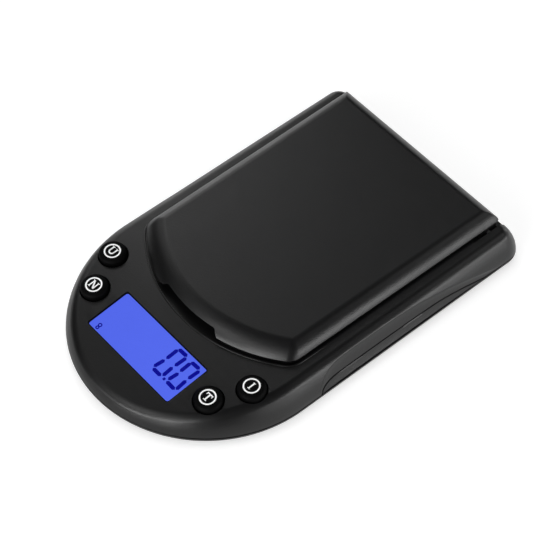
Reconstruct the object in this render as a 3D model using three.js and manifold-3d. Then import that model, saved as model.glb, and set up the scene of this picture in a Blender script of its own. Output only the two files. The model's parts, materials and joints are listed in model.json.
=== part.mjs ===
// Pocket gram scale with a hinged lid. Two shells hold a backlit display, four keys, a weighing
// platform on a load cell, and a tray of coin cells behind a sliding door.
// Millimetres. +X is the user's right, +Y runs back to the hinge and +Z is up.
// The origin is on the table, under the middle of the body.
import * as THREE from 'three';
import { mergeVertices } from 'three/addons/utils/BufferGeometryUtils.js';
import Module from 'manifold-3d';

const wasm = await Module();
wasm.setup();

// ---- driving dimensions: body ----
const LENGTH = 125;
const HALF_WIDTH = 40;
const FRONT_Y = -LENGTH / 2;
const REAR_Y = LENGTH / 2;
const ARC_Y = FRONT_Y + HALF_WIDTH; // centre of the half-round front
const REAR_CORNER = 6.5;
const BASE_Z = 0.8; // underside, held off the table by the feet
const EDGE_Z = 3.2; // widest line of the body, where the upper shell ends
const EDGE_BAND = 0.15;
const RAIL_Z = 11.7; // flat top beside and around the lid
const PANEL_DROP = 0.003; // fall of the front panel, per mm squared ahead of ARC_Y
const FLANK_DRAFT = 0.26;
const FLANK_ROUND = { across: 3.2, up: 4 };
const SKIN = 1.5; // thickness of the deck
const WALL = 2.2; // thickness of the flanks
const FLOOR_Z = 2;
const GAP = 0.3;

// ---- finger scoops along both flanks ----
const SCOOP = { start: -15.6, full: -3, fall: 5, end: 54, height: 7.1, depth: 0.45, waist: 0.5 };
const PARTING_ARCH = { start: -14.8, end: 46, rise: 5.5, fall: 20, height: 2.3 };

// ---- lid and hinge ----
const LID = { front: -30.8, rear: 58.7, arc: 47.5, corner: 5, rearCorner: 1, half: 31.7, flare: 0.8 };
const LID_Z = { skirt: 11.5, crease: 12.8, top: 16.8, ceiling: 15.3, tail: 7.6 };
const LID_WALL = 1.6;
const LID_SHELF_Z = 11.2;
const NOTCH = { left: -9.6, right: 10.2, flare: 3.6, top: 15.1 };
const PIVOT = { y: 54.4, z: 10.5 };
const TROUGH = { radius: 6.6, shell: 1, half: 33.1, end: 34.9, lipZ: 6.9 };
const CHEEK = { inner: 29.6, outer: 32.2, radius: 3, web: 31.5, top: 12.6 };
const PIN = { radius: 0.6, hole: 0.85, inner: 30, outer: 34.3, holeEnd: 34.6 };

// ---- display ----
const WINDOW = { halfX: 17.6, halfY: 7.05, y: -44, corner: 0.8, slope: 0.13, recess: 0.65 };
const LENS = { halfX: 19, halfY: 9, top: -0.65, bottom: -1.45 };
const LCD = { halfX: 18.4, halfY: 8.8, top: -1.75, bottom: -3.15 };
const LCD_FRAME = { halfX: 19.6, halfY: 9.8, wall: 0.8, top: -2.4, bottom: -4.4 };

// ---- keys: place of each, from the middle of its hole ----
const KEY = { hole: 4.4, cap: 4.05, crown: 3.1, proud: 1.8 };
const KEY_FLANGE = { radius: 4.8, top: -2.2, base: -2.9, stem: 1.6, footZ: 7.05 };
const KEYS = [
  { name: 'unit', x: -30.3, y: -32.2 },
  { name: 'count', x: -24.9, y: -42.9 },
  { name: 'tare', x: 24.9, y: -42.9 },
  { name: 'power', x: 30.3, y: -32.2 },
];
const SWITCH_TOP = 6.2;

// ---- weighing platform and load cell ----
const PLATFORM = { half: 29, y: 10, halfY: 28.5, corner: 4, top: 12.4, rim: 11.1, sheet: 0.6 };
const WELL_CLEARANCE = 0.7;
const CARRIER = { half: 26, halfY: 25.5, base: 9.6, top: 10.7, pad: 11.5, boss: 8.75 };
const BEAM = { half: 4.5, front: -20, rear: 22, base: 3.4, top: 8.4, eye: 1.75, eyes: [-2, 4] };
const BEAM_SCREWS = { fixed: [-17.5, -12], free: [14, 19.5] };

// ---- electronics and power ----
const BOARD = { radius: 32.5, rear: -26.5, base: 3.2, top: 4 };
const BOARD_SCREW = { x: 17, y: -29.5 };
const CELL = { radius: 10, x: 11, y: 35.4, base: 2.4, top: 5.6 };
const TRAY = { half: 25.5, front: 24, rear: 46.9, ceiling: 6.5, top: 7.2 };
const DOOR = { half: 23, front: 25, top: 2 };
const DOOR_TONGUE = { reach: 1, front: 26, rear: 46, base: 1.5, top: 1.95 };

// ---- fasteners and feet ----
const CASE_SCREWS = [
  { name: 'front_left', x: -33, y: -16 },
  { name: 'front_right', x: 33, y: -16 },
  { name: 'rear_left', x: -30.5, y: 44 },
  { name: 'rear_right', x: 30.5, y: 44 },
];
const FEET = [
  { name: 'front_left', x: -25, y: -41 },
  { name: 'front_right', x: 25, y: -41 },
  { name: 'rear_left', x: -31, y: 53.5 },
  { name: 'rear_right', x: 31, y: 53.5 },
];
const FOOT = { radius: 4, pocket: 0.5, top: 1 };

// ---- materials ----
const plastic = (color, roughness) => new THREE.MeshStandardMaterial({ color, roughness, metalness: 0 });
const metal = (color, roughness) => new THREE.MeshStandardMaterial({ color, roughness, metalness: 1 });
const BLACK_SATIN = plastic(0x1c1c1e, 0.42);
const BLACK_RUBBER = plastic(0x0a0a0b, 0.25);
const CLEAR = plastic(0xe8ecf4, 0.05);
const LCD_BLUE = plastic(0x566bf0, 0.3);
const WHITE_PLASTIC = plastic(0xe6e6e2, 0.5);
const BOARD_GREEN = plastic(0x1f6b3a, 0.5);
const CHIP_BLACK = plastic(0x111113, 0.35);
const GREY_RUBBER = plastic(0x3a3a3c, 0.8);
const SILICONE = plastic(0xdcdcd6, 0.7);
const LEAD_RED = plastic(0xb02020, 0.5);
const LEAD_BLACK = plastic(0x151515, 0.5);
const STEEL = metal(0xb9bcc0, 0.35);
const BRUSHED = metal(0xc8cacc, 0.3);
const ALUMINIUM = metal(0xd0d2d4, 0.45);

const scale = new THREE.Group();

// ---- solids: closed geometries, joined and cut ----
function solid(geometry) {
  const bare = geometry.clone();
  bare.deleteAttribute('normal');
  bare.deleteAttribute('uv');
  const merged = mergeVertices(bare, 1e-4);
  return new wasm.Manifold(new wasm.Mesh({
    numProp: 3,
    vertProperties: new Float32Array(merged.attributes.position.array),
    triVerts: new Uint32Array(merged.index.array),
  }));
}

function geometryOf(manifold) {
  const mesh = manifold.getMesh();
  const geometry = new THREE.BufferGeometry();
  geometry.setAttribute('position', new THREE.BufferAttribute(new Float32Array(mesh.vertProperties), 3));
  geometry.setIndex(new THREE.BufferAttribute(new Uint32Array(mesh.triVerts), 1));
  return geometry;
}

function add(name, shape, material, parent = scale) {
  const geometry = shape.isBufferGeometry ? shape : geometryOf(shape);
  geometry.computeVertexNormals();
  const mesh = new THREE.Mesh(geometry, material);
  mesh.name = name;
  parent.add(mesh);
  return mesh;
}

function box(x0, x1, y0, y1, z0, z1) {
  const geometry = new THREE.BoxGeometry(x1 - x0, y1 - y0, z1 - z0);
  return geometry.translate((x0 + x1) / 2, (y0 + y1) / 2, (z0 + z1) / 2);
}

function disc(x, y, radius, z0, z1, segments = 24) {
  const geometry = new THREE.CylinderGeometry(radius, radius, z1 - z0, segments);
  return geometry.rotateX(Math.PI / 2).translate(x, y, (z0 + z1) / 2);
}

function rodAlongX(x0, x1, y, z, radius, segments = 24) {
  const geometry = new THREE.CylinderGeometry(radius, radius, x1 - x0, segments);
  return geometry.rotateZ(Math.PI / 2).translate((x0 + x1) / 2, y, z);
}

function roundedShape(halfX, halfY, corner, centreY = 0) {
  const shape = new THREE.Shape();
  shape.absarc(halfX - corner, centreY + halfY - corner, corner, 0, Math.PI / 2);
  shape.absarc(corner - halfX, centreY + halfY - corner, corner, Math.PI / 2, Math.PI);
  shape.absarc(corner - halfX, centreY - halfY + corner, corner, Math.PI, Math.PI * 1.5);
  shape.absarc(halfX - corner, centreY - halfY + corner, corner, Math.PI * 1.5, Math.PI * 2);
  return shape;
}

function plate(shape, z0, z1, curveSegments = 6) {
  const geometry = new THREE.ExtrudeGeometry(shape, { depth: z1 - z0, bevelEnabled: false, curveSegments });
  return geometry.translate(0, 0, z0);
}

// Shape drawn in (Y, Z) and extruded along X.
function acrossX(shape, x0, x1) {
  const options = { depth: x1 - x0, bevelEnabled: false, curveSegments: 8 };
  const geometry = new THREE.ExtrudeGeometry(shape, options);
  return geometry.rotateY(Math.PI / 2).rotateX(Math.PI / 2).translate(x0, 0, 0);
}

// Screw turned from a profile: head downwards when direction is 1, upwards when it is -1.
function screw(headRadius, headHeight, shankRadius, length, direction) {
  const profile = [
    new THREE.Vector2(0, 0),
    new THREE.Vector2(headRadius * 0.85, 0),
    new THREE.Vector2(headRadius, headHeight * 0.35),
    new THREE.Vector2(headRadius, headHeight),
    new THREE.Vector2(shankRadius, headHeight),
    new THREE.Vector2(shankRadius, length - shankRadius),
    new THREE.Vector2(0, length),
  ];
  const body = new THREE.LatheGeometry(profile, 12).rotateX(Math.PI / 2);
  const slotA = box(-headRadius * 0.6, headRadius * 0.6, -0.25, 0.25, -1, headHeight * 0.5);
  const slotB = box(-0.25, 0.25, -headRadius * 0.6, headRadius * 0.6, -1, headHeight * 0.5);
  const cut = solid(body).subtract(solid(slotA)).subtract(solid(slotB));
  const geometry = geometryOf(cut);
  return direction > 0 ? geometry : geometry.rotateX(Math.PI);
}

// ---- lofted shells ----
// Half outline of the body, from the front middle round the right side to the rear middle.
function bodyOutline() {
  const points = [];
  const steps = 18;
  for (let i = 0; i <= steps; i++) {
    const angle = (i / steps - 1) * Math.PI / 2;
    const nx = i === 0 ? 0 : Math.cos(angle);
    points.push({ x: HALF_WIDTH * nx, y: ARC_Y + HALF_WIDTH * Math.sin(angle), nx, ny: Math.sin(angle) });
  }
  for (let i = 0; i <= 6; i++) {
    const angle = (i / 6) * Math.PI / 2;
    points.push({
      x: HALF_WIDTH - REAR_CORNER + REAR_CORNER * Math.cos(angle),
      y: REAR_Y - REAR_CORNER + REAR_CORNER * Math.sin(angle),
      nx: Math.cos(angle),
      ny: Math.sin(angle),
    });
  }
  points.push({ x: 0, y: REAR_Y, nx: 0, ny: 1 });
  return points;
}

// Half ring of the lid at a height, standing in from the lid's outline. The front is one wide arc
// that runs into a corner arc on each side; the rear corners tighten to a mitre as they stand in.
function lidRing(inset, z) {
  const cornerX = LID.half - LID.corner;
  const arcCentreY = LID.front + LID.arc;
  const reach = Math.sqrt((LID.arc - LID.corner) ** 2 - cornerX ** 2);
  const turn = Math.atan2(cornerX, reach);
  const points = [];
  for (let i = 0; i <= 10; i++) {
    const angle = turn * i / 10;
    const radius = LID.arc - inset;
    points.push({ x: radius * Math.sin(angle), y: arcCentreY - radius * Math.cos(angle), z });
  }
  for (let i = 1; i <= 5; i++) {
    const angle = turn + (Math.PI / 2 - turn) * i / 5;
    const radius = LID.corner - inset;
    const y = arcCentreY - reach - radius * Math.cos(angle);
    points.push({ x: cornerX + radius * Math.sin(angle), y, z });
  }
  const rearRadius = Math.max(0.08, LID.rearCorner - inset);
  const rearX = LID.half + LID.flare - inset - rearRadius;
  const rearY = LID.rear - inset - rearRadius;
  for (let i = 0; i <= 4; i++) {
    const angle = (i / 4) * Math.PI / 2;
    points.push({ x: rearX + rearRadius * Math.cos(angle), y: rearY + rearRadius * Math.sin(angle), z });
  }
  points.push({ x: 0, y: LID.rear - inset, z });
  return points;
}

// Closed skin through a stack of mirrored rings, lowest first. Each ring holds the right half,
// front to rear. The ends are closed straight across, from each point to its mirror.
function loft(rings) {
  const count = rings[0].length;
  const loop = 2 * count - 2;
  const positions = [];
  for (const ring of rings) {
    for (const p of ring) positions.push(p.x, p.y, p.z);
    for (let i = count - 2; i > 0; i--) positions.push(-ring[i].x, ring[i].y, ring[i].z);
  }
  const index = [];
  for (let level = 0; level < rings.length - 1; level++) {
    const low = level * loop;
    const high = low + loop;
    for (let i = 0; i < loop; i++) {
      const next = (i + 1) % loop;
      index.push(low + i, low + next, high + next, low + i, high + next, high + i);
    }
  }
  const top = (rings.length - 1) * loop;
  for (let i = 0; i < count - 1; i++) {
    const left = (loop - i) % loop;
    const leftNext = loop - i - 1;
    if (i < count - 2) {
      index.push(top + i, top + i + 1, top + leftNext, i, leftNext, i + 1);
    }
    if (i > 0) {
      const far = i < count - 2 ? leftNext : i + 1;
      index.push(top + i, top + far, top + left, i, left, far);
    }
  }
  const geometry = new THREE.BufferGeometry();
  geometry.setAttribute('position', new THREE.Float32BufferAttribute(positions, 3));
  geometry.setIndex(index);
  return geometry;
}

// Closed skin through rings of any outline that face along Y, front ring first.
function loftAlongY(rings) {
  const loop = rings[0].length;
  const positions = rings.flatMap((ring) => ring.flatMap((p) => [p.x, p.y, p.z]));
  const flat = rings[0].map((p) => new THREE.Vector2(p.x, p.z));
  const index = [];
  for (let level = 0; level < rings.length - 1; level++) {
    const low = level * loop;
    for (let i = 0; i < loop; i++) {
      const next = (i + 1) % loop;
      index.push(low + i, low + loop + next, low + next, low + i, low + loop + i, low + loop + next);
    }
  }
  const last = (rings.length - 1) * loop;
  const caps = THREE.ShapeUtils.triangulateShape(flat, []);
  for (const [a, b, c] of caps) index.push(a, b, c, last + a, last + c, last + b);
  const geometry = new THREE.BufferGeometry();
  geometry.setAttribute('position', new THREE.Float32BufferAttribute(positions, 3));
  geometry.setIndex(index);
  return geometry;
}

function deckHeight(y) {
  const ahead = Math.max(0, ARC_Y - y);
  return RAIL_Z - PANEL_DROP * ahead * ahead;
}

function panelSlope(y) {
  return 2 * PANEL_DROP * Math.max(0, ARC_Y - y);
}

// How far the flank stands in from the widest line at a height, under a deck of height top.
function flankInset(z, top) {
  const drafted = FLANK_DRAFT * (z - EDGE_Z);
  const up = Math.min(1, Math.max(0, (z - top + FLANK_ROUND.up) / FLANK_ROUND.up));
  return drafted + FLANK_ROUND.across * (1 - Math.sqrt(1 - up * up));
}

function ringAt(outline, levelOf) {
  return outline.map((p) => {
    const { inset, z } = levelOf(p);
    return { x: Math.max(0, p.x - inset * p.nx), y: p.y - inset * p.ny, z };
  });
}

const topOf = (p) => deckHeight(p.y - 5 * p.ny);

function bodySolid() {
  const outline = bodyOutline();
  const rings = [
    [2.6, BASE_Z], [1.5, BASE_Z + 0.2], [0.8, BASE_Z + 0.7], [0.35, BASE_Z + 1.4],
    [0, EDGE_Z], [0, EDGE_Z + EDGE_BAND],
  ].map(([inset, z]) => ringAt(outline, () => ({ inset, z })));
  for (const angle of [0, 25, 50, 72, 90].map(THREE.MathUtils.degToRad)) {
    rings.push(ringAt(outline, (p) => {
      const z = topOf(p) - FLANK_ROUND.up * (1 - Math.sin(angle));
      return { inset: flankInset(z, topOf(p)), z };
    }));
  }
  return solid(loft(rings));
}

function bodyCavity() {
  const outline = bodyOutline();
  const rings = [[4.2, FLOOR_Z], [WALL, EDGE_Z]].map(([inset, z]) => ringAt(outline, () => ({ inset, z })));
  for (const angle of [0, 45, 90].map(THREE.MathUtils.degToRad)) {
    rings.push(ringAt(outline, (p) => {
      const z = topOf(p) - SKIN - 2 * (1 - Math.sin(angle));
      return { inset: WALL + FLANK_DRAFT * (z - EDGE_Z) + 2 * (1 - Math.cos(angle)), z };
    }));
  }
  return solid(loft(rings));
}

// Height of the scoop's upper crease above the widest line, as a fraction of its full height.
function scoopRise(y) {
  if (y <= SCOOP.start || y >= SCOOP.end) return 0;
  if (y < SCOOP.full) {
    const t = (SCOOP.full - y) / (SCOOP.full - SCOOP.start);
    return (1 - t ** 2.6) ** (1 / 2.6);
  }
  if (y < SCOOP.fall) return 1;
  return 1 - ((y - SCOOP.fall) / (SCOOP.end - SCOOP.fall)) ** 2.3;
}

// Cutter for the scoop on one side: a slightly hollow face from the crease to the lower edge.
function scoopCutter(side) {
  const rings = [];
  const steps = 16;
  for (let i = 0; i <= steps; i++) {
    const t = i / steps;
    const y = SCOOP.start + (SCOOP.end - SCOOP.start) * t ** 1.5;
    const rise = Math.max(0.02, scoopRise(y));
    const creaseZ = EDGE_Z + SCOOP.height * rise;
    const creaseX = HALF_WIDTH - flankInset(creaseZ, RAIL_Z) + 0.02;
    const footX = HALF_WIDTH - SCOOP.waist * rise + 0.02;
    const ring = [{ x: 48, z: -1 }, { x: 48, z: creaseZ + 8 }];
    for (const u of [0, 0.25, 0.5, 0.75, 1]) {
      const sag = SCOOP.depth * rise * 4 * u * (1 - u);
      ring.push({ x: creaseX + (footX - creaseX) * u - sag, z: creaseZ + (EDGE_Z - creaseZ) * u - 0.01 });
    }
    ring.push({ x: footX, z: -1 });
    if (side < 0) ring.reverse();
    rings.push(ring.map((p) => ({ x: side * p.x, y, z: p.z })));
  }
  return solid(loftAlongY(rings));
}

// Everything that belongs to the lower shell: below the widest line, and up an arch in the scoops.
function belowParting(shift) {
  const arch = new THREE.Shape();
  const { start, end, rise, fall, height } = PARTING_ARCH;
  const steps = 6;
  const edge = EDGE_Z + EDGE_BAND / 2 + shift;
  arch.moveTo(start - shift, -2);
  for (let i = 0; i <= steps; i++) {
    const t = i / steps;
    arch.lineTo(start - shift + rise * t, edge + height * Math.sqrt(1 - (1 - t) ** 2));
  }
  for (let i = 0; i <= steps; i++) {
    const t = i / steps;
    arch.lineTo(end + shift - fall * (1 - t), edge + height * Math.cos(t * Math.PI / 2));
  }
  arch.lineTo(end + shift, -2);
  const slab = solid(box(-50, 50, -70, 70, -2, edge));
  return slab.add(solid(acrossX(arch, 33.5, 50))).add(solid(acrossX(arch, -50, -33.5)));
}

// ---- shells ----
const body = bodySolid().subtract(scoopCutter(1)).subtract(scoopCutter(-1));
const cavity = bodyCavity();

function makeUpperCase() {
  const skin = body.subtract(belowParting(GAP)).subtract(cavity);
  let shell = skin;
  for (const place of CASE_SCREWS) {
    const boss = solid(disc(place.x, place.y, 2.8, 5.3, RAIL_Z - SKIN + 0.2, 20));
    shell = shell.add(boss).subtract(solid(disc(place.x, place.y, 1.4, 5, RAIL_Z - SKIN - 0.4, 16)));
  }
  const { radius, shell: thick, half, end } = TROUGH;
  const troughShell = solid(rodAlongX(-end, end, PIVOT.y, PIVOT.z, radius + thick, 40));
  shell = shell.add(troughShell.intersect(body));
  shell = shell.subtract(solid(rodAlongX(-half, half, PIVOT.y, PIVOT.z, radius, 40)));
  shell = shell.subtract(solid(box(-half, half, PIVOT.y, 70, TROUGH.lipZ, 20)));
  const wellHalf = PLATFORM.half + WELL_CLEARANCE;
  const well = roundedShape(wellHalf, PLATFORM.halfY + WELL_CLEARANCE, 4.5, PLATFORM.y);
  shell = shell.subtract(solid(plate(well, 9, 15, 4)));
  shell = shell.subtract(solid(loft([lidRing(-0.6, LID_SHELF_Z), lidRing(-0.6, 15)])));
  for (const key of KEYS) {
    const hole = disc(0, 0, KEY.hole, -4, 4, 32);
    const pocket = disc(0, 0, KEY_FLANGE.radius + GAP, -5, KEY_FLANGE.top + GAP, 32);
    for (const cutter of [hole, pocket]) {
      cutter.rotateX(Math.atan(panelSlope(key.y))).translate(key.x, key.y, deckHeight(key.y));
      shell = shell.subtract(solid(cutter));
    }
  }
  const tilt = Math.atan(WINDOW.slope);
  const opening = plate(roundedShape(WINDOW.halfX, WINDOW.halfY, WINDOW.corner), -4, 4, 3);
  shell = shell.subtract(solid(opening.rotateX(tilt).translate(0, WINDOW.y, deckHeight(WINDOW.y))));
  const pocket = plate(roundedShape(LENS.halfX + GAP, LENS.halfY + GAP, 1), -4, LENS.top + GAP / 2, 2);
  shell = shell.subtract(solid(pocket.rotateX(tilt).translate(0, WINDOW.y, deckHeight(WINDOW.y))));
  for (const side of [-1, 1]) {
    const middle = side * (half + PIN.holeEnd) / 2;
    const reach = (PIN.holeEnd - half) / 2;
    const hole = rodAlongX(middle - reach - 0.1, middle + reach + 0.1, PIVOT.y, PIVOT.z, PIN.hole, 16);
    shell = shell.subtract(solid(hole));
  }
  return shell;
}

function makeLowerCase() {
  let shell = body.intersect(belowParting(0)).subtract(cavity);
  const tray = solid(box(-TRAY.half, TRAY.half, TRAY.front, TRAY.rear, FLOOR_Z - 0.4, TRAY.top));
  shell = shell.add(tray);
  for (const side of [-1, 1]) {
    const pocket = disc(side * CELL.x, CELL.y, CELL.radius + 0.5, -1, TRAY.ceiling, 40);
    shell = shell.subtract(solid(pocket));
  }
  shell = shell.add(solid(box(-5.5, 5.5, -20, -9, FLOOR_Z - 0.4, BEAM.base - GAP)));
  for (const y of BEAM_SCREWS.fixed) {
    shell = shell.subtract(solid(disc(0, y, 1.5, -1, 6, 16)));
    shell = shell.subtract(solid(disc(0, y, 2.8, -1, 1.8, 20)));
  }
  for (const place of CASE_SCREWS) {
    shell = shell.add(solid(disc(place.x, place.y, 3, FLOOR_Z - 0.4, 5, 20)));
    shell = shell.subtract(solid(disc(place.x, place.y, 1.4, -1, 6, 16)));
    shell = shell.subtract(solid(disc(place.x, place.y, 2.7, -1, 2.5, 20)));
  }
  for (const side of [-1, 1]) {
    const post = disc(side * BOARD_SCREW.x, BOARD_SCREW.y, 2.2, FLOOR_Z - 0.4, BOARD.base - GAP, 16);
    shell = shell.add(solid(post));
    shell = shell.subtract(solid(disc(side * BOARD_SCREW.x, BOARD_SCREW.y, 1, 1.5, 4, 16)));
  }
  shell = shell.add(solid(disc(0, -50, 2.2, FLOOR_Z - 0.4, BOARD.base - GAP, 16)));
  for (const foot of FEET) {
    shell = shell.subtract(solid(disc(foot.x, foot.y, FOOT.radius + GAP, -1, 1.3, 28)));
  }
  const clear = DOOR.half + GAP;
  const slide = clear + DOOR_TONGUE.reach;
  const slot = box(-slide, slide, DOOR.front - GAP, 70, DOOR_TONGUE.base - GAP, DOOR.top + GAP);
  shell = shell.subtract(solid(slot));
  return shell.subtract(solid(box(-clear, clear, DOOR.front - GAP, 70, -1, DOOR.top + GAP)));
}

function makeBatteryDoor() {
  let door = body.intersect(solid(box(-DOOR.half, DOOR.half, DOOR.front, 70, 0, DOOR.top)));
  for (let i = 0; i < 5; i++) {
    const y = 50 + i * 1.8;
    door = door.subtract(solid(box(-8 + i, 8 - i, y, y + 0.8, 0, BASE_Z + 0.35)));
  }
  const { reach, front, rear, base, top } = DOOR_TONGUE;
  const edge = DOOR.half + reach;
  door = door.add(solid(box(-edge, edge, front, rear, base, top)));
  return door.subtract(solid(box(-18, 18, CELL.y - 4, CELL.y + 4, 1.5, 3)));
}

function makeLid() {
  const round = LID_Z.top - LID_Z.crease;
  const rings = [lidRing(0, LID_Z.skirt), lidRing(0, LID_Z.crease)];
  for (const angle of [15, 30, 45, 60, 75, 90].map(THREE.MathUtils.degToRad)) {
    rings.push(lidRing(round * (1 - Math.cos(angle)), LID_Z.crease + round * Math.sin(angle)));
  }
  const hollow = [[0, 9], [0, LID_Z.ceiling - 2.4], [0.7, LID_Z.ceiling - 0.7], [2.4, LID_Z.ceiling]];
  const inner = hollow.map(([inset, z]) => lidRing(LID_WALL + inset, z));
  let lid = solid(loft(rings)).subtract(solid(loft(inner)));
  const tail = new THREE.Shape();
  tail.moveTo(LID.rear, LID_Z.skirt + 0.5);
  tail.lineTo(LID.rear - LID_WALL, LID_Z.skirt + 0.5);
  tail.lineTo(LID.rear - LID_WALL, LID_Z.tail + 0.2);
  tail.lineTo(LID.rear - 1.2, LID_Z.tail);
  tail.lineTo(LID.rear - 0.4, LID_Z.tail);
  tail.lineTo(LID.rear, LID_Z.tail + 0.6);
  lid = lid.add(solid(acrossX(tail, -CHEEK.outer + 2, CHEEK.outer - 2)));
  for (const side of [-1, 1]) {
    const low = Math.min(side * CHEEK.inner, side * CHEEK.outer);
    const high = Math.max(side * CHEEK.inner, side * CHEEK.outer);
    const webIn = Math.min(side * CHEEK.inner, side * CHEEK.web);
    const webOut = Math.max(side * CHEEK.inner, side * CHEEK.web);
    const web = box(webIn, webOut, PIVOT.y - CHEEK.radius, PIVOT.y + CHEEK.radius, PIVOT.z, CHEEK.top);
    lid = lid.add(solid(rodAlongX(low, high, PIVOT.y, PIVOT.z, CHEEK.radius, 28))).add(solid(web));
    lid = lid.subtract(solid(rodAlongX(side * 31 - 1.8, side * 31 + 1.8, PIVOT.y, PIVOT.z, PIN.hole, 16)));
  }
  const notch = new THREE.Shape();
  notch.moveTo(NOTCH.left - NOTCH.flare, 11);
  notch.lineTo(NOTCH.right + NOTCH.flare, 11);
  notch.lineTo(NOTCH.right + NOTCH.flare * 0.75, LID_Z.crease);
  notch.lineTo(NOTCH.right, NOTCH.top);
  notch.lineTo(NOTCH.left, NOTCH.top);
  notch.lineTo(NOTCH.left - NOTCH.flare * 0.75, LID_Z.crease);
  const cutter = plate(notch, 26.4, 34).rotateX(Math.PI / 2);
  return lid.subtract(solid(cutter));
}

add('upper_case', makeUpperCase(), BLACK_SATIN);
add('lower_case', makeLowerCase(), BLACK_SATIN);
add('battery_door', makeBatteryDoor(), BLACK_SATIN);
add('lid', makeLid(), BLACK_SATIN);

for (const [side, name] of [[-1, 'left'], [1, 'right']]) {
  const x0 = Math.min(side * PIN.inner, side * PIN.outer);
  const pin = rodAlongX(x0, x0 + PIN.outer - PIN.inner, PIVOT.y, PIVOT.z, PIN.radius, 16);
  add(`hinge_pin_${name}`, pin, STEEL);
}

// ---- display stack, square to the tilted window ----
const display = new THREE.Group();
display.position.set(0, WINDOW.y, deckHeight(WINDOW.y));
display.rotation.x = Math.atan(WINDOW.slope);
scale.add(display);

function makeLcdFrame() {
  const { halfX, halfY, wall, top, bottom } = LCD_FRAME;
  const outer = plate(roundedShape(halfX, halfY, 1.2), bottom, top, 3);
  const inner = plate(roundedShape(halfX - wall, halfY - wall, 0.5), bottom - 1, top + 1, 2);
  return solid(outer).subtract(solid(inner));
}

const lens = plate(roundedShape(LENS.halfX, LENS.halfY, 0.8), LENS.bottom, LENS.top, 3);
add('display_window', lens, CLEAR, display);
add('lcd_glass', box(-LCD.halfX, LCD.halfX, -LCD.halfY, LCD.halfY, LCD.bottom, LCD.top), LCD_BLUE, display);
add('backlight', box(-18, 18, -8.5, 6.6, LCD.bottom - 1.3, LCD.bottom - GAP), WHITE_PLASTIC, display);
add('lcd_frame', makeLcdFrame(), WHITE_PLASTIC, display);
add('zebra_strip', box(-17, 17, 7, 8.6, -7, LCD.bottom - GAP), GREY_RUBBER, display);

// ---- keys, each square to the panel at its own place ----
function makeKey(stemLength) {
  const profile = [
    [0, KEY.proud], [KEY.crown * 0.75, KEY.proud - 0.06], [KEY.crown, KEY.proud - 0.3],
    [KEY.crown + 0.55, KEY.proud - 0.9], [KEY.cap, 0.1], [KEY.cap, KEY_FLANGE.top],
    [KEY_FLANGE.radius, KEY_FLANGE.top], [KEY_FLANGE.radius, KEY_FLANGE.base],
    [KEY_FLANGE.stem, KEY_FLANGE.base], [KEY_FLANGE.stem, -stemLength], [0, -stemLength],
  ].reverse().map(([r, z]) => new THREE.Vector2(r, z));
  return new THREE.LatheGeometry(profile, 20).rotateX(Math.PI / 2);
}

for (const key of KEYS) {
  const seat = new THREE.Group();
  seat.position.set(key.x, key.y, deckHeight(key.y));
  seat.rotation.x = Math.atan(panelSlope(key.y));
  scale.add(seat);
  add(`key_${key.name}`, makeKey(deckHeight(key.y) - KEY_FLANGE.footZ), BLACK_RUBBER, seat);
  const bodyBox = solid(box(key.x - 2.2, key.x + 2.2, key.y - 2.2, key.y + 2.2, BOARD.top + 0.2, 5.6));
  add(`switch_${key.name}`, bodyBox.add(solid(disc(key.x, key.y, 1.1, 5.4, SWITCH_TOP, 16))), STEEL);
}

// ---- circuit board ----
function makeBoard() {
  const shape = new THREE.Shape();
  const cut = Math.asin((BOARD.rear - ARC_Y) / BOARD.radius);
  shape.absarc(0, ARC_Y, BOARD.radius, Math.PI - cut, 2 * Math.PI + cut, false);
  let board = solid(plate(shape, BOARD.base, BOARD.top, 32));
  for (const side of [-1, 1]) {
    board = board.subtract(solid(disc(side * BOARD_SCREW.x, BOARD_SCREW.y, 1, 2, 6, 16)));
  }
  return board;
}

add('circuit_board', makeBoard(), BOARD_GREEN);
const blob = [[0, 0], [3.4, 0], [3.2, 0.5], [2.4, 1], [1.3, 1.25], [0, 1.3]];
const blobProfile = blob.map(([radius, z]) => new THREE.Vector2(radius, z));
const chip = new THREE.LatheGeometry(blobProfile, 20).rotateX(Math.PI / 2);
add('controller_chip', chip.translate(-9, -30.6, BOARD.top + 0.15), CHIP_BLACK);
add('amplifier_chip', box(6, 11, -32, -28.2, BOARD.top + 0.15, BOARD.top + 1.6), CHIP_BLACK);
for (const [side, name] of [[-1, 'left'], [1, 'right']]) {
  const fixing = screw(1.8, 1, 0.7, 3.2, -1);
  fixing.translate(side * BOARD_SCREW.x, BOARD_SCREW.y, BOARD.top + 1.15);
  add(`board_screw_${name}`, fixing, STEEL);
}

// ---- load cell ----
function makeLoadCell() {
  let beam = solid(box(-BEAM.half, BEAM.half, BEAM.front, BEAM.rear, BEAM.base, BEAM.top));
  const middle = (BEAM.base + BEAM.top) / 2;
  for (const y of BEAM.eyes) {
    beam = beam.subtract(solid(rodAlongX(-6, 6, y, middle, BEAM.eye, 24)));
  }
  beam = beam.subtract(solid(box(-6, 6, BEAM.eyes[0], BEAM.eyes[1], middle - 0.6, middle + 0.6)));
  for (const y of [...BEAM_SCREWS.fixed, ...BEAM_SCREWS.free]) {
    beam = beam.subtract(solid(disc(0, y, 1.5, 0, 12, 16)));
  }
  return beam;
}

add('load_cell', makeLoadCell(), ALUMINIUM);
const seal = roundedShape(3.4, 5.5, 1, 1);
add('gauge_seal_top', plate(seal, BEAM.top + 0.15, BEAM.top + 0.65, 3), SILICONE);
add('gauge_seal_bottom', plate(seal, BEAM.base - 0.75, BEAM.base - 0.15, 3), SILICONE);
BEAM_SCREWS.fixed.forEach((y, i) => {
  add(`beam_screw_${i + 1}`, screw(2.4, 0.8, 1.1, 6.6, 1).translate(0, y, 0.95), STEEL);
});

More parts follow.
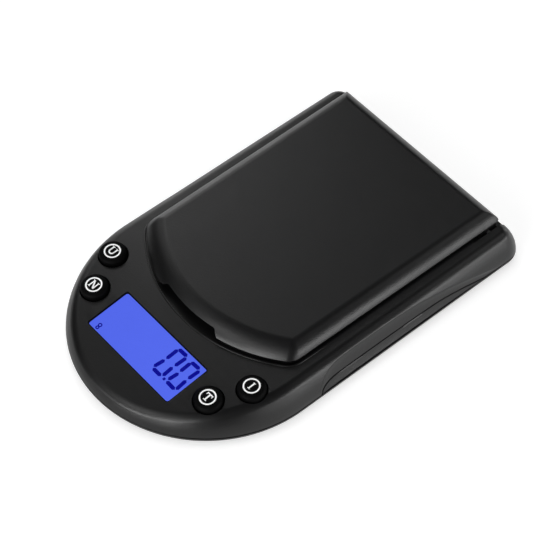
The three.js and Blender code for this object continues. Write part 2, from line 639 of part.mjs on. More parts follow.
// ---- weighing platform: a steel pan on a plastic carrier ----
function makePlatform() {
  const { half, halfY, corner, y, top, rim, sheet } = PLATFORM;
  const outer = [[0, rim], [0, top - 0.6], [0.2, top - 0.2], [0.6, top]];
  let pan = null;
  for (let i = 0; i < outer.length - 1; i++) {
    const shape = roundedShape(half - outer[i + 1][0], halfY - outer[i + 1][0], corner, y);
    const layer = solid(plate(shape, i === 0 ? rim : outer[i][1] - 0.1, outer[i + 1][1], 4));
    pan = pan ? pan.add(layer) : layer;
  }
  const hollow = roundedShape(half - sheet, halfY - sheet, corner - sheet, y);
  return pan.subtract(solid(plate(hollow, rim - 1, top - sheet, 4)));
}

function makeCarrier() {
  const { half, halfY, base, top, pad, boss } = CARRIER;
  let carrier = solid(plate(roundedShape(half, halfY, 3, PLATFORM.y), base, top, 3));
  for (const sx of [-1, 1]) {
    for (const sy of [-1, 1]) {
      carrier = carrier.add(solid(disc(sx * 20, PLATFORM.y + sy * 21, 3.5, base + 0.5, pad, 16)));
      const light = roundedShape(5.5, 6, 1.5, PLATFORM.y + sy * 14);
      carrier = carrier.subtract(solid(plate(light, 0, 20, 2).translate(sx * 14, 0, 0)));
    }
  }
  carrier = carrier.add(solid(box(-5.5, 5.5, 11, 22.5, boss, top)));
  for (const y of BEAM_SCREWS.free) {
    carrier = carrier.subtract(solid(disc(0, y, 1.5, 5, 15, 16)));
    carrier = carrier.subtract(solid(disc(0, y, 2.8, 9.8, 15, 20)));
  }
  return carrier;
}

add('weighing_platform', makePlatform(), BRUSHED);
add('platform_carrier', makeCarrier(), plastic(0x222224, 0.6));
BEAM_SCREWS.free.forEach((y, i) => {
  add(`carrier_screw_${i + 1}`, screw(2.4, 0.8, 1.1, 6, -1).translate(0, y, 10.95), STEEL);
});

// ---- power: two coin cells in series behind the door ----
for (const [side, name] of [[-1, 'left'], [1, 'right']]) {
  const profile = [[0, 0], [9.2, 0], [10, 0.35], [10, 2.6], [8.6, 2.7], [8.4, 3.2], [0, 3.2]];
  const outline = profile.map(([r, z]) => new THREE.Vector2(r, z));
  const cell = new THREE.LatheGeometry(outline, 24).rotateX(Math.PI / 2);
  add(`coin_cell_${name}`, cell.translate(side * CELL.x, CELL.y, CELL.base), BRUSHED);
  const contact = roundedShape(3, 6, 1, CELL.y);
  const leaf = plate(contact, CELL.top + 0.25, CELL.top + 0.55, 3).translate(side * CELL.x, 0, 0);
  add(`cell_contact_${name}`, leaf, STEEL);
}
add('battery_link_plate', plate(roundedShape(17.6, 3.6, 1, CELL.y), 1.7, 1.95, 3), STEEL);

// ---- internal leads ----
function lead(points, section, steps) {
  const path = new THREE.CatmullRomCurve3(points.map(([x, y, z]) => new THREE.Vector3(x, y, z)));
  const options = { steps, bevelEnabled: false, extrudePath: path, curveSegments: 2 };
  return new THREE.ExtrudeGeometry(section, options);
}

function roundSection(radius) {
  const shape = new THREE.Shape();
  for (let i = 0; i < 6; i++) {
    const angle = i * Math.PI / 3;
    if (i === 0) shape.moveTo(radius, 0);
    else shape.lineTo(radius * Math.cos(angle), radius * Math.sin(angle));
  }
  return shape;
}

function batteryLead(side) {
  const run = [
    [16, 23.6, 4.6], [16, 21, 3.6], [15, 14, 3.1],
    [14, 0, 3.1], [14, -14, 3.1], [13.5, -22, 3.4],
  ];
  const end = [13, -26, 3.6];
  return lead([...run, end].map(([x, y, z]) => [side * x, y, z]), roundSection(0.6), 14);
}

const ribbon = new THREE.Shape();
ribbon.moveTo(-2.4, -0.4);
ribbon.lineTo(2.4, -0.4);
ribbon.lineTo(2.4, 0.4);
ribbon.lineTo(-2.4, 0.4);
add('battery_lead_red', batteryLead(1), LEAD_RED);
add('battery_lead_black', batteryLead(-1), LEAD_BLACK);
const ribbonRun = [[0, -20.4, 6.6], [0, -22.5, 6.4], [0, -25, 5.3], [0, -27.5, 4.9]];
add('load_cell_lead', lead(ribbonRun, ribbon, 8), SILICONE);

// ---- case screws and feet ----
for (const place of CASE_SCREWS) {
  add(`case_screw_${place.name}`, screw(2.3, 0.9, 1.1, 7.6, 1).translate(place.x, place.y, 1.2), STEEL);
}
for (const foot of FEET) {
  const profile = [[0, 0], [3.4, 0], [3.9, 0.3], [4, 0.6], [4, FOOT.top], [0, FOOT.top]];
  const pad = new THREE.LatheGeometry(profile.map(([r, z]) => new THREE.Vector2(r, z)), 24);
  add(`foot_${foot.name}`, pad.rotateX(Math.PI / 2).translate(foot.x, foot.y, 0), GREY_RUBBER);
}

export default scale;
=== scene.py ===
"""Looks of the pocket gram scale: finished shapes, materials, light and camera.

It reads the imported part's frame and nothing else. Lengths are in mm until MM makes them metres."""

import json
import math

import bmesh
import bpy
from mathutils import Matrix, Vector


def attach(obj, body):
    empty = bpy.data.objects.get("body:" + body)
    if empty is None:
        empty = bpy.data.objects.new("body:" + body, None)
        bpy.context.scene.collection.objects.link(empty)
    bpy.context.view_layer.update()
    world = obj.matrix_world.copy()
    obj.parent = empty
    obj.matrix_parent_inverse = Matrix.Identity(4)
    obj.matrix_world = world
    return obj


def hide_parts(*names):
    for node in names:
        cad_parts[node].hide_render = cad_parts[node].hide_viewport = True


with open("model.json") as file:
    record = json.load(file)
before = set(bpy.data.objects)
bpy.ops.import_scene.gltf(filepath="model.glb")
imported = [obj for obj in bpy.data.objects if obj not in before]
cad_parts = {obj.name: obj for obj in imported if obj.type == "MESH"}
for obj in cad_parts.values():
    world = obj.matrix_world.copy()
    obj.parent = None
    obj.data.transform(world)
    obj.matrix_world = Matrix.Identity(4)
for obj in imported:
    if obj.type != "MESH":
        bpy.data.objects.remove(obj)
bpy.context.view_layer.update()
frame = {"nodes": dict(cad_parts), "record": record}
MM = 0.001

# ---- driving dimensions, in mm: the part's, and those of the finished shape alone ----
HALF_WIDTH = 40.0
FRONT_Y, REAR_Y = -62.5, 62.5
ARC_Y = FRONT_Y + HALF_WIDTH
REAR_CORNER = 6.5
BASE_Z, EDGE_Z, EDGE_BAND, RAIL_Z = 0.8, 3.2, 0.15, 11.7
PANEL_DROP = 0.003
DRAFT, CAVITY_DRAFT, BOW = 0.45, 0.3, 0.8
ROUND_ACROSS, ROUND_UP = 1.5, 1.7
SKIN, WALL, FLOOR_Z, GAP = 1.5, 2.2, 2.0, 0.3
SCOOP = dict(start=-15.6, full=-3.0, fall=5.0, end=54.0, height=7.1, depth=0.45, waist=0.5)
ARCH = dict(start=-14.8, end=46.0, rise=5.5, fall=20.0, height=2.3)
LID = dict(front=-30.95, rear=58.35, arc=47.5, corner=5.0, rear_corner=1.0, half=31.85, flare=0.7)
LID_SKIRT, LID_CREASE, LID_TOP, LID_CEILING, LID_TAIL = 11.5, 13.2, 16.8, 15.3, 7.6
LID_LEAN, LID_BULGE, LID_ROUND = 26.0, 0.76, 4.55
LID_WALL, LID_SHELF = 1.6, 11.2
FRONT_SOFT, FRONT_FADE = 0.38, (-24.0, 14.0)
RIM = dict(height=0.28, inner=0.35, width=0.5, fade_from=-20.0, fade_to=2.0)
PIVOT_Y, PIVOT_Z = 54.4, 10.5
TROUGH = dict(radius=6.6, shell=1.0, half=33.1, end=34.9, lip=6.9)
CHEEK = dict(inner=29.6, outer=32.2, radius=3.0, web=31.5, top=12.6)
PIN_HOLE = 0.85
WINDOW = dict(half_x=17.6, half_y=7.2, y=-44.15, corner=0.9, slope=0.13)
LENS = dict(half_x=19.0, half_y=9.0, top=-0.65, bottom=-1.45)
LCD_TOP = -1.75
KEY_HOLE, KEY_CAP, KEY_PROUD = 4.4, 4.05, 1.8
KEYS = {
    "unit": (-30.3, -32.2),
    "count": (-24.9, -42.9),
    "tare": (24.9, -42.9),
    "power": (30.3, -32.2),
}
FEET = {
    "front_left": (-25, -41),
    "front_right": (25, -41),
    "rear_left": (-31, 53.5),
    "rear_right": (31, 53.5),
}
CASE_SCREWS = {
    "front_left": (-33, -16),
    "front_right": (33, -16),
    "rear_left": (-30.5, 44),
    "rear_right": (30.5, 44),
}
BEAM_SCREW_YS = (-17.5, -12.0)
PAN = dict(half=29.0, y=10.0, half_y=28.5, corner=4.0, top=12.4, rim=11.1, sheet=0.6)
PAN_ROUND = 0.6
WELL_CLEARANCE = 0.7
CELL = dict(x=11, y=35.4, radius=10.5, top=6.5)
CELL_BLOCK = dict(half=25.5, front=24, rear=46.9, top=7.2)
DOOR = dict(half=23, front=25, top=2.0)
BOTTOM_ROUND, DECK_SETBACK = 2.6, 5
SCOOP_FRONT_POWER, SCOOP_REAR_POWER, SCOOP_BLEND = 2.6, 2.3, 0.22
KEY_LIP, WINDOW_LIP = 0.24, 0.12
CASE_SCREW_HEAD, BEAM_SCREW_HEAD = 2.7, 2.8
LCD_HALF_X, LCD_HALF_Y = 18.4, 8.8
BEYOND_REAR = 70

# Edges sharper than this angle stay sharp. Points closer than these, in metres, are merged.
SHARP_ANGLE, MERGE, MERGE_AFTER_CUTS = 38.0, 2e-6, 3e-6
# Segments of the outline's round front and rear corners, and of the lid's front and corners.
FRONT_STEPS, REAR_STEPS, LID_FRONT_STEPS, LID_CORNER_STEPS, LID_REAR_STEPS = 60, 16, 32, 14, 8


# ---- meshes ----
def make_object(name, verts, faces, angle=SHARP_ANGLE):
    """A mesh object from points in mm, facing out, with edges sharper than `angle` kept sharp."""
    mesh = bpy.data.meshes.new(name)
    mesh.from_pydata([tuple(c * MM for c in v) for v in verts], [], faces)
    bm = bmesh.new()
    bm.from_mesh(mesh)
    bmesh.ops.remove_doubles(bm, verts=bm.verts, dist=MERGE)
    bmesh.ops.recalc_face_normals(bm, faces=bm.faces)
    bm.to_mesh(mesh)
    bm.free()
    obj = bpy.data.objects.new(name, mesh)
    bpy.context.scene.collection.objects.link(obj)
    shade(obj, angle)
    return obj


def shade(obj, angle=SHARP_ANGLE):
    """Smooth shading, with edges sharper than `angle` kept sharp."""
    mesh = obj.data
    mesh.polygons.foreach_set("use_smooth", [True] * len(mesh.polygons))
    bm = bmesh.new()
    bm.from_mesh(mesh)
    limit = math.radians(angle)
    for edge in bm.edges:
        if len(edge.link_faces) == 2:
            edge.smooth = edge.calc_face_angle(0.0) < limit
    bm.to_mesh(mesh)
    bm.free()


def combine(obj, other, operation, keep=False):
    """obj joined with, cut by, or limited to the other object."""
    modifier = obj.modifiers.new("cut", "BOOLEAN")
    modifier.operation = operation
    modifier.object = other
    modifier.solver = "MANIFOLD"
    settle(obj)
    if not keep:
        remove(other)
    return obj


def settle(obj):
    """Fix the result of the object's modifiers in its mesh."""
    bpy.context.view_layer.update()
    graph = bpy.context.evaluated_depsgraph_get()
    mesh = bpy.data.meshes.new_from_object(obj.evaluated_get(graph))
    obj.modifiers.clear()
    old = obj.data
    obj.data = mesh
    bpy.data.meshes.remove(old)
    return obj


def cut(obj, other):
    return combine(obj, other, "DIFFERENCE")


def join(obj, other):
    return combine(obj, other, "UNION")


def remove(obj):
    mesh = obj.data
    bpy.data.objects.remove(obj)
    bpy.data.meshes.remove(mesh)


def copy_of(obj, name):
    twin = bpy.data.objects.new(name, obj.data.copy())
    bpy.context.scene.collection.objects.link(twin)
    return twin


def finish_mesh(obj):
    """Merge the slivers that cuts leave, then set smooth and sharp edges."""
    bm = bmesh.new()
    bm.from_mesh(obj.data)
    bmesh.ops.remove_doubles(bm, verts=bm.verts, dist=MERGE_AFTER_CUTS)
    bmesh.ops.dissolve_degenerate(bm, dist=MERGE, edges=bm.edges)
    bm.to_mesh(obj.data)
    bm.free()
    shade(obj)
    modifier = obj.modifiers.new("normals", "WEIGHTED_NORMAL")
    modifier.keep_sharp = True
    modifier.weight = 80
    return settle(obj)


def place(obj, matrix):
    obj.data.transform(matrix)
    return obj


def seat_matrix(x, y, z, slope):
    """Moves a piece built round the origin to its place, leaning back by the panel's slope."""
    return Matrix.Translation((x * MM, y * MM, z * MM)) @ Matrix.Rotation(math.atan(slope), 4, "X")


def strips(levels, count):
    """Faces between each closed ring of `count` points and the next."""
    faces = []
    for level in range(levels - 1):
        low = level * count
        for i in range(count):
            j = (i + 1) % count
            faces.append((low + i, low + j, low + count + j, low + count + i))
    return faces


def loft(name, rings, closed_ends=True):
    """Skin through rings of equal length, lowest first."""
    count = len(rings[0])
    verts = [p for ring in rings for p in ring]
    faces = strips(len(rings), count)
    if closed_ends:
        faces.append(tuple(range(count))[::-1])
        top = (len(rings) - 1) * count
        faces.append(tuple(range(top, top + count)))
    return make_object(name, verts, faces)


def ladder_loft(name, rings):
    """Skin through mirrored rings. Each ring is the right half, front middle to rear middle.
    The ends are closed by straight strips from each point to its mirror."""
    half = len(rings[0])
    loop = 2 * half - 2
    verts = []
    for ring in rings:
        verts += list(ring) + [(-x, y, z) for x, y, z in ring[half - 2 : 0 : -1]]
    faces = strips(len(rings), loop)
    for base in (0, (len(rings) - 1) * loop):
        for i in range(half - 1):
            left, left_next = (loop - i) % loop, loop - i - 1
            corners = [base + i, base + i + 1, base + left_next, base + left]
            if i == 0:
                corners = [base, base + 1, base + left_next]
            elif i == half - 2:
                corners = [base + i, base + half - 1, base + left]
            faces.append(tuple(corners))
    return make_object(name, verts, faces)


def circle(radius, steps):
    """Points of a circle, counter-clockwise from the first axis."""
    angles = [2 * math.pi * k / steps for k in range(steps)]
    return [(radius * math.cos(a), radius * math.sin(a)) for a in angles]


def turned(name, profile, steps):
    """Solid turned about Z from (radius, height) points that start and end on the axis."""
    rings = [[(x, y, z) for x, y in circle(r, steps)] for r, z in profile[1:-1]]
    verts = [p for ring in rings for p in ring]
    faces = strips(len(rings), steps)
    for (_, z), base in ((profile[0], 0), (profile[-1], (len(rings) - 1) * steps)):
        tip = len(verts)
        verts.append((0.0, 0.0, z))
        faces += [(base + i, base + (i + 1) % steps, tip) for i in range(steps)]
    return make_object(name, verts, faces)


def box(name, x0, x1, y0, y1, z0, z1):
    lower = [(x0, y0, z0), (x1, y0, z0), (x1, y1, z0), (x0, y1, z0)]
    return loft(name, [lower, [(x, y, z1) for x, y, _ in lower]])


def rounded_loop(half_x, half_y, corner, centre_y=0.0, steps=8):
    """Points of a rounded rectangle, `steps` segments to a corner."""
    points = []
    for k, (sx, sy) in enumerate(((1, 1), (-1, 1), (-1, -1), (1, -1))):
        for i in range(steps + 1):
            a = math.pi / 2 * (k + i / steps)
            x = sx * (half_x - corner) + corner * math.cos(a)
            points.append((x, centre_y + sy * (half_y - corner) + corner * math.sin(a)))
    return points


def slab(name, levels, half_x, half_y, corner, centre_y=0.0, steps=8):
    """Rounded rectangle through (inset, z) levels."""
    rings = []
    for inset, z in levels:
        radius = max(0.02, corner - inset)
        loop = rounded_loop(half_x - inset, half_y - inset, radius, centre_y, steps)
        rings.append([(x, y, z) for x, y in loop])
    return loft(name, rings)


def rod_x(name, x0, x1, y, z, radius, steps):
    """Round bar along X."""
    return loft(name, [[(x, y + a, z + b) for a, b in circle(radius, steps)] for x in (x0, x1)])


def prism_x(name, outline, x0, x1):
    """A (y, z) outline drawn out along X."""
    return loft(name, [[(x, y, z) for y, z in outline] for x in (x0, x1)])


def spread(a, b, count):
    """`count` even steps from a to b, both included."""
    return [a + (b - a) * i / (count - 1) for i in range(count)]


def fade(y, start, end):
    """1 before start, 0 past end, smooth between."""
    t = min(1.0, max(0.0, (y - start) / (end - start)))
    return 1 - t * t * (3 - 2 * t)


# ---- body surface ----
def deck(y):
    """Height of the panel and rails: level, then falling in a curve towards the front."""
    return RAIL_Z - PANEL_DROP * max(0.0, ARC_Y - y) ** 2


def panel_slope(y):
    return 2 * PANEL_DROP * max(0.0, ARC_Y - y)


def flank(z, top):
    """How far the plain side stands in at z: a bowed draft, then a round into the deck."""
    up = min(1.0, max(0.0, (z - top + ROUND_UP) / ROUND_UP))
    rise = max(0.0, z - EDGE_Z)
    lean = DRAFT * rise * (1 - BOW + BOW * rise / (top - EDGE_Z))
    return lean + ROUND_ACROSS * (1 - math.sqrt(1 - up * up))


def scoop_rise(y):
    """How much of its full height the finger scoop has at y, 0 to 1."""
    if y <= SCOOP["start"] or y >= SCOOP["end"]:
        return 0.0
    if y < SCOOP["full"]:
        t = (SCOOP["full"] - y) / (SCOOP["full"] - SCOOP["start"])
        return (1 - t**SCOOP_FRONT_POWER) ** (1 / SCOOP_FRONT_POWER)
    if y < SCOOP["fall"]:
        return 1.0
    t = (y - SCOOP["fall"]) / (SCOOP["end"] - SCOOP["fall"])
    return 1 - t**SCOOP_REAR_POWER


def soft_max(a, b, blend):
    """The larger of two, rounded off where they are closer than `blend`."""
    h = max(0.0, blend - abs(a - b)) / blend
    return max(a, b) + h * h * blend / 4


def inset_at(y, z, top, side_on):
    """How far the outer surface stands in from the widest line."""
    plain = flank(z, top)
    rise = scoop_rise(y) if side_on else 0.0
    if rise <= 0.0:
        return plain
    crease = EDGE_Z + SCOOP["height"] * rise
    foot = SCOOP["waist"] * rise
    at_crease = flank(crease, RAIL_Z)
    u = (crease - z) / (crease - EDGE_Z)
    if u < -0.15:
        return plain
    hollow = at_crease + (foot - at_crease) * u + SCOOP["depth"] * rise * 4 * u * (1 - u)
    return soft_max(plain, hollow, SCOOP_BLEND * rise)


def body_outline():
    """Half outline of the body with outward normals, from the front middle to the rear middle."""
    points = []
    for i in range(FRONT_STEPS + 1):
        a = (i / FRONT_STEPS - 1) * math.pi / 2
        nx, ny = math.cos(a) if i else 0.0, math.sin(a)
        points.append((HALF_WIDTH * nx, ARC_Y + HALF_WIDTH * ny, nx, ny))
    side = spread(ARC_Y + 0.8, SCOOP["start"], 8)
    side += [SCOOP["start"] + 0.12 * k + 0.012 * k * k for k in range(1, 25)]
    side += spread(side[-1] + 0.7, REAR_Y - REAR_CORNER - 0.8, 84)
    points += [(HALF_WIDTH, y, 1.0, 0.0) for y in side]
    for i in range(REAR_STEPS + 1):
        a = i / REAR_STEPS * math.pi / 2
        nx, ny = math.cos(a), math.sin(a)
        x = HALF_WIDTH - REAR_CORNER + REAR_CORNER * nx
        points.append((x, REAR_Y - REAR_CORNER + REAR_CORNER * ny, nx, ny))
    points += [(x, REAR_Y, 0.0, 1.0) for x in spread(28.0, 0.0, 8)]
    return points


def deck_inside(y, ny):
    """Height of the deck a little way in from the outline, which the flank rounds into."""
    return deck(y - DECK_SETBACK * ny)


def ring_at(outline, level_of):
    """The outline stood in and set at the height that level_of gives for each point."""
    ring = []
    for p in outline:
        inset, z = level_of(p)
        ring.append((max(0.0, p[0] - inset * p[2]), p[1] - inset * p[3], z))
    return ring


def body_levels(p):
    """(inset, z) samples up the outside at one outline point, in step with the scoop's crease."""
    top = deck_inside(p[1], p[3])
    side_on = p[2] > 0.999
    levels = []
    for t in spread(0.0, 1.0, 9):
        z = BASE_Z + (EDGE_Z - BASE_Z) * t**1.6
        down = (EDGE_Z - z) / (EDGE_Z - BASE_Z)
        levels.append((BOTTOM_ROUND * (1 - math.sqrt(1 - down**2)), z))
    start = EDGE_Z + EDGE_BAND
    crease = max(EDGE_Z + SCOOP["height"] * (scoop_rise(p[1]) if side_on else 0.0), start + 0.4)
    round_z = max(crease + 0.3, top - ROUND_UP)
    below = (0, 0.12, 0.25, 0.4, 0.55, 0.7, 0.82, 0.92, 0.97, 1)
    heights = [start + (crease - start) * t for t in below]
    heights += [crease + (round_z - crease) * t for t in (0.1, 0.25, 0.5, 0.75, 1)]
    low = math.asin(min(1.0, max(0.0, (round_z - top + ROUND_UP) / ROUND_UP)))
    turns = [low + (math.pi / 2 - low) * t for t in spread(0.0, 1.0, 15)[1:]]
    heights += [top - ROUND_UP * (1 - math.sin(turn)) for turn in turns]
    return levels + [(inset_at(p[1], z, top, side_on), z) for z in heights]


def body_solid(name):
    outline = body_outline()
    columns = [body_levels(p) for p in outline]
    numbered = [(*p, k) for k, p in enumerate(outline)]
    levels = range(len(columns[0]))
    rings = [ring_at(numbered, lambda q, n=n: columns[q[4]][n]) for n in levels]
    return ladder_loft(name, rings)


def body_cavity(name):
    outline = body_outline()
    rings = [ring_at(outline, lambda p, v=v: v) for v in ((4.2, FLOOR_Z), (WALL, EDGE_Z))]
    for angle in (0, 30, 60, 90):
        c, s = math.cos(math.radians(angle)), math.sin(math.radians(angle))

        def level(p):
            z = deck_inside(p[1], p[3]) - SKIN - 2 * (1 - s)
            return WALL + CAVITY_DRAFT * (z - EDGE_Z) + 2 * (1 - c), z

        rings.append(ring_at(outline, level))
    return ladder_loft(name, rings)


def arch_points(shift, steps=28):
    edge = EDGE_Z + EDGE_BAND / 2 + shift
    start, end = ARCH["start"] - shift, ARCH["end"] + shift
    rise, fall, height = ARCH["rise"], ARCH["fall"], ARCH["height"]
    ts = spread(0, 1, steps)
    points = [(start + rise * t, edge + height * math.sqrt(1 - (1 - t) ** 2)) for t in ts]
    points += [(end - fall * (1 - t), edge + height * math.cos(t * math.pi / 2)) for t in ts]
    return points


def below_parting(shift):
    """Everything that belongs to the lower shell."""
    edge = EDGE_Z + EDGE_BAND / 2 + shift
    tool = box("tool", -50, 50, -BEYOND_REAR, BEYOND_REAR, -2, edge)
    outline = arch_points(shift)
    outline = [(outline[0][0], -1.5)] + outline + [(outline[-1][0], -1.5)]
    for x0, x1 in ((33.5, 50), (-50, -33.5)):
        tool = join(tool, prism_x("arch", outline, x0, x1))
    return tool


def parting_groove():
    """Ring-shaped cutter along the parting line that rounds both edges of the seam."""
    arch = arch_points(GAP / 2)
    low = EDGE_Z + EDGE_BAND / 2 + GAP / 2
    outline = body_outline()
    front = [(*p, low) for p in outline if p[1] < arch[0][0] - 0.3]
    rear = [(*p, low) for p in outline if p[1] > arch[-1][0] + 0.3]
    middle = [(HALF_WIDTH, y, 1.0, 0.0, z) for y, z in arch]
    half = front + middle + rear
    full = half + [(-x, y, -nx, ny, z) for x, y, nx, ny, z in half[-2:0:-1]]
    section = ((0.6, 0.62), (0.05, 0.30), (-0.05, 0.22), (-0.17, 0.165), (-0.5, 0.13))
    section = section + tuple((n, -u) for n, u in reversed(section))
    count = len(full)
    verts, faces = [], []
    for k, (x, y, nx, ny, z) in enumerate(full):
        before, after = full[k - 1], full[(k + 1) % count]
        ahead = (after[0] - before[0], after[1] - before[1], after[4] - before[4])
        along = Vector(ahead).normalized()
        out = Vector((nx, ny, 0.0))
        up = out.cross(along).normalized()
        up = up if up.z > 0 else -up
        inset = inset_at(y, z, deck_inside(y, ny), abs(nx) > 0.999)
        centre = Vector((x - inset * nx, y - inset * ny, z))
        verts += [tuple(centre + out * n + up * u) for n, u in section]
    size = len(section)
    for k in range(count):
        for i in range(size):
            j = (i + 1) % size
            k2 = (k + 1) % count
            faces.append((k * size + i, k * size + j, k2 * size + j, k2 * size + i))
    return make_object("groove", verts, faces)


def lid_ring(inset, z):
    """Half ring of the lid, standing in from its outline. The rear corners tighten to a mitre.
    Above the crease the front stands in further, for its wider round."""
    corner_x = LID["half"] - LID["corner"]
    centre_y = LID["front"] + LID["arc"]
    reach = math.sqrt((LID["arc"] - LID["corner"]) ** 2 - corner_x**2)
    turn = math.atan2(corner_x, reach)
    points = []
    for i in range(LID_FRONT_STEPS + 1):
        a, r = turn * i / LID_FRONT_STEPS, LID["arc"] - inset
        points.append((r * math.sin(a), centre_y - r * math.cos(a), z))
    r = LID["corner"] - inset
    for i in range(1, LID_CORNER_STEPS + 1):
        a = turn + (math.pi / 2 - turn) * i / LID_CORNER_STEPS
        points.append((corner_x + r * math.sin(a), centre_y - reach - r * math.cos(a), z))
    r = max(0.05, LID["rear_corner"] - inset)
    end_x, end_y = LID["half"] + LID["flare"] - inset - r, LID["rear"] - inset - r
    last_x, last_y, _ = points[-1]
    for t in spread(0.0, 1.0, 26)[1:-1]:
        points.append((last_x + (end_x + r - last_x) * t, last_y + (end_y - last_y) * t, z))
    for i in range(LID_REAR_STEPS + 1):
        a = i / LID_REAR_STEPS * math.pi / 2
        points.append((end_x + r * math.cos(a), end_y + r * math.sin(a), z))
    points += [(x, end_y + r, z) for x in spread(end_x - 2, 0.0, 6)]
    if z <= LID_CREASE:
        return points
    return [(x, y + FRONT_SOFT * inset * fade(y, *FRONT_FADE), z) for x, y, z in points]


# ---- cutters with softly rounded mouths ----
def key_hole_cutter(x, y):
    lip = KEY_LIP
    profile = [(0.0, -6.0), (KEY_HOLE, -6.0)]
    for t in spread(0.0, 1.0, 6):
        a = math.pi - t * math.pi / 2
        profile.append((KEY_HOLE + lip + lip * math.cos(a), -lip + lip * math.sin(a)))
    profile += [(KEY_HOLE + lip + 0.35, 0.02), (KEY_HOLE + lip + 0.35, 2.0), (0.0, 2.0)]
    return place(turned("tool", profile, 72), seat_matrix(x, y, deck(y), panel_slope(y)))


def window_cutter():
    lip = WINDOW_LIP
    levels = [(0.0, -2.0)]
    for t in spread(0.0, 1.0, 5):
        a = math.pi - t * math.pi / 2
        levels.append((-lip - lip * math.cos(a), -lip + lip * math.sin(a)))
    levels += [(-lip - 0.3, 0.015), (-lip - 0.3, 3.0)]
    tool = slab("tool", levels, WINDOW["half_x"], WINDOW["half_y"], WINDOW["corner"])
    return place(tool, seat_matrix(0, WINDOW["y"], deck(WINDOW["y"]), WINDOW["slope"]))


def over_deck(inset, rise):
    """Ring round the lid that follows the deck at a height that depends on y."""
    return [(x, y, deck(y) + rise(y)) for x, y, _ in lid_ring(inset, 0.0)]


def shelf_rim():
    """Low bead round the front of the lid's recess, as a plug that the recess is cut from."""

    def height(y):
        shown = fade(y, RIM["fade_from"], RIM["fade_to"])
        return RIM["height"] * shown - 0.05 * (1 - shown)

    outer = RIM["inner"] + RIM["width"]
    levels = (  # how far out, height over the deck, share of the bead's height
        (outer, -0.7, 0.0), (outer, -0.06, 0.1), (outer - 0.02, -0.01, 0.6),
        (outer - 0.08, 0.0, 0.9), (outer - 0.18, 0.0, 1.0),
    )
    rings = [over_deck(-out, lambda y, d=d, k=k: d + k * height(y)) for out, d, k in levels]
    return ladder_loft("tool", rings)


def shelf_cutter():
    wall = RIM["inner"]
    levels = (
        (wall, -0.5), (wall, 0.06), (wall + 0.03, 0.12),
        (wall + 0.1, RIM["height"]), (wall + 0.12, 3.5),
    )
    return ladder_loft("tool", [over_deck(-out, lambda y, d=d: d) for out, d in levels])


# ---- the pieces ----
def make_upper_case(body):
    shell = copy_of(body, "upper_case_skin")
    cut(shell, below_parting(GAP))
    cut(shell, body_cavity("tool"))
    join(shell, shelf_rim())
    t = TROUGH
    trough = rod_x("tool", -t["end"], t["end"], PIVOT_Y, PIVOT_Z, t["radius"] + t["shell"], 96)
    join(shell, combine(trough, body, "INTERSECT", keep=True))
    cut(shell, rod_x("tool", -t["half"], t["half"], PIVOT_Y, PIVOT_Z, t["radius"], 96))
    cut(shell, box("tool", -t["half"], t["half"], PIVOT_Y, BEYOND_REAR, t["lip"], 20))
    cut(shell, shelf_cutter())
    half, half_y = PAN["half"] + WELL_CLEARANCE, PAN["half_y"] + WELL_CLEARANCE
    levels = (
        (0, 8.5), (0, LID_SHELF - 0.2), (-0.06, LID_SHELF - 0.06),
        (-0.2, LID_SHELF), (-0.3, LID_SHELF + 0.02), (-0.3, 15),
    )
    cut(shell, slab("tool", levels, half, half_y, 4.5, PAN["y"]))
    for x, y in KEYS.values():
        cut(shell, key_hole_cutter(x, y))
    cut(shell, window_cutter())
    levels = ((0, -4), (0, LENS["top"] + 0.15))
    pocket = slab("tool", levels, LENS["half_x"] + GAP, LENS["half_y"] + GAP, 1.0)
    cut(shell, place(pocket, seat_matrix(0, WINDOW["y"], deck(WINDOW["y"]), WINDOW["slope"])))
    for side in (-1, 1):
        x0, x1 = sorted((side * (t["half"] - 0.1), side * (t["half"] + 1.5)))
        cut(shell, rod_x("tool", x0, x1, PIVOT_Y, PIVOT_Z, PIN_HOLE, 32))
    cut(shell, parting_groove())
    return finish_mesh(shell)


def make_lower_case(body):
    shell = combine(copy_of(body, "lower_case_skin"), below_parting(0.0), "INTERSECT")
    cut(shell, body_cavity("tool"))
    b = CELL_BLOCK
    join(shell, box("tool", -b["half"], b["half"], b["front"], b["rear"], FLOOR_Z - 0.4, b["top"]))
    radius, top = CELL["radius"], CELL["top"]
    for side in (-1, 1):
        pocket = turned("tool", [(0, -1), (radius, -1), (radius, top), (0, top)], 72)
        at = Matrix.Translation((side * CELL["x"] * MM, CELL["y"] * MM, 0))
        cut(shell, place(pocket, at))
    cut(shell, parting_groove())
    return finish_mesh(shell)


def make_underside(shell):
    """Recesses that the door, screws and feet sit in."""
    reach, front = DOOR["half"] + GAP, DOOR["front"] - GAP
    cut(shell, box("tool", -reach - 1, reach + 1, front, BEYOND_REAR, 1.2, 2.3))
    cut(shell, box("tool", -reach, reach, front, BEYOND_REAR, -1, 2.3))
    for x, y in FEET.values():
        profile = [(0, -1), (4.5, -1), (4.5, 0.76), (4.42, 0.86), (4.3, 0.95), (4.3, 1.3), (0, 1.3)]
        cut(shell, place(turned("tool", profile, 56), Matrix.Translation((x * MM, y * MM, 0))))
    screws = [(x, y, CASE_SCREW_HEAD) for x, y in CASE_SCREWS.values()]
    screws += [(0, y, BEAM_SCREW_HEAD) for y in BEAM_SCREW_YS]
    for x, y, head in screws:
        mouth = head + 0.2
        profile = [(0, -1), (mouth, -1), (mouth, 0.78), (head, 1.0), (head, 2.5), (0, 2.5)]
        cut(shell, place(turned("tool", profile, 48), Matrix.Translation((x * MM, y * MM, 0))))
    return finish_mesh(shell)


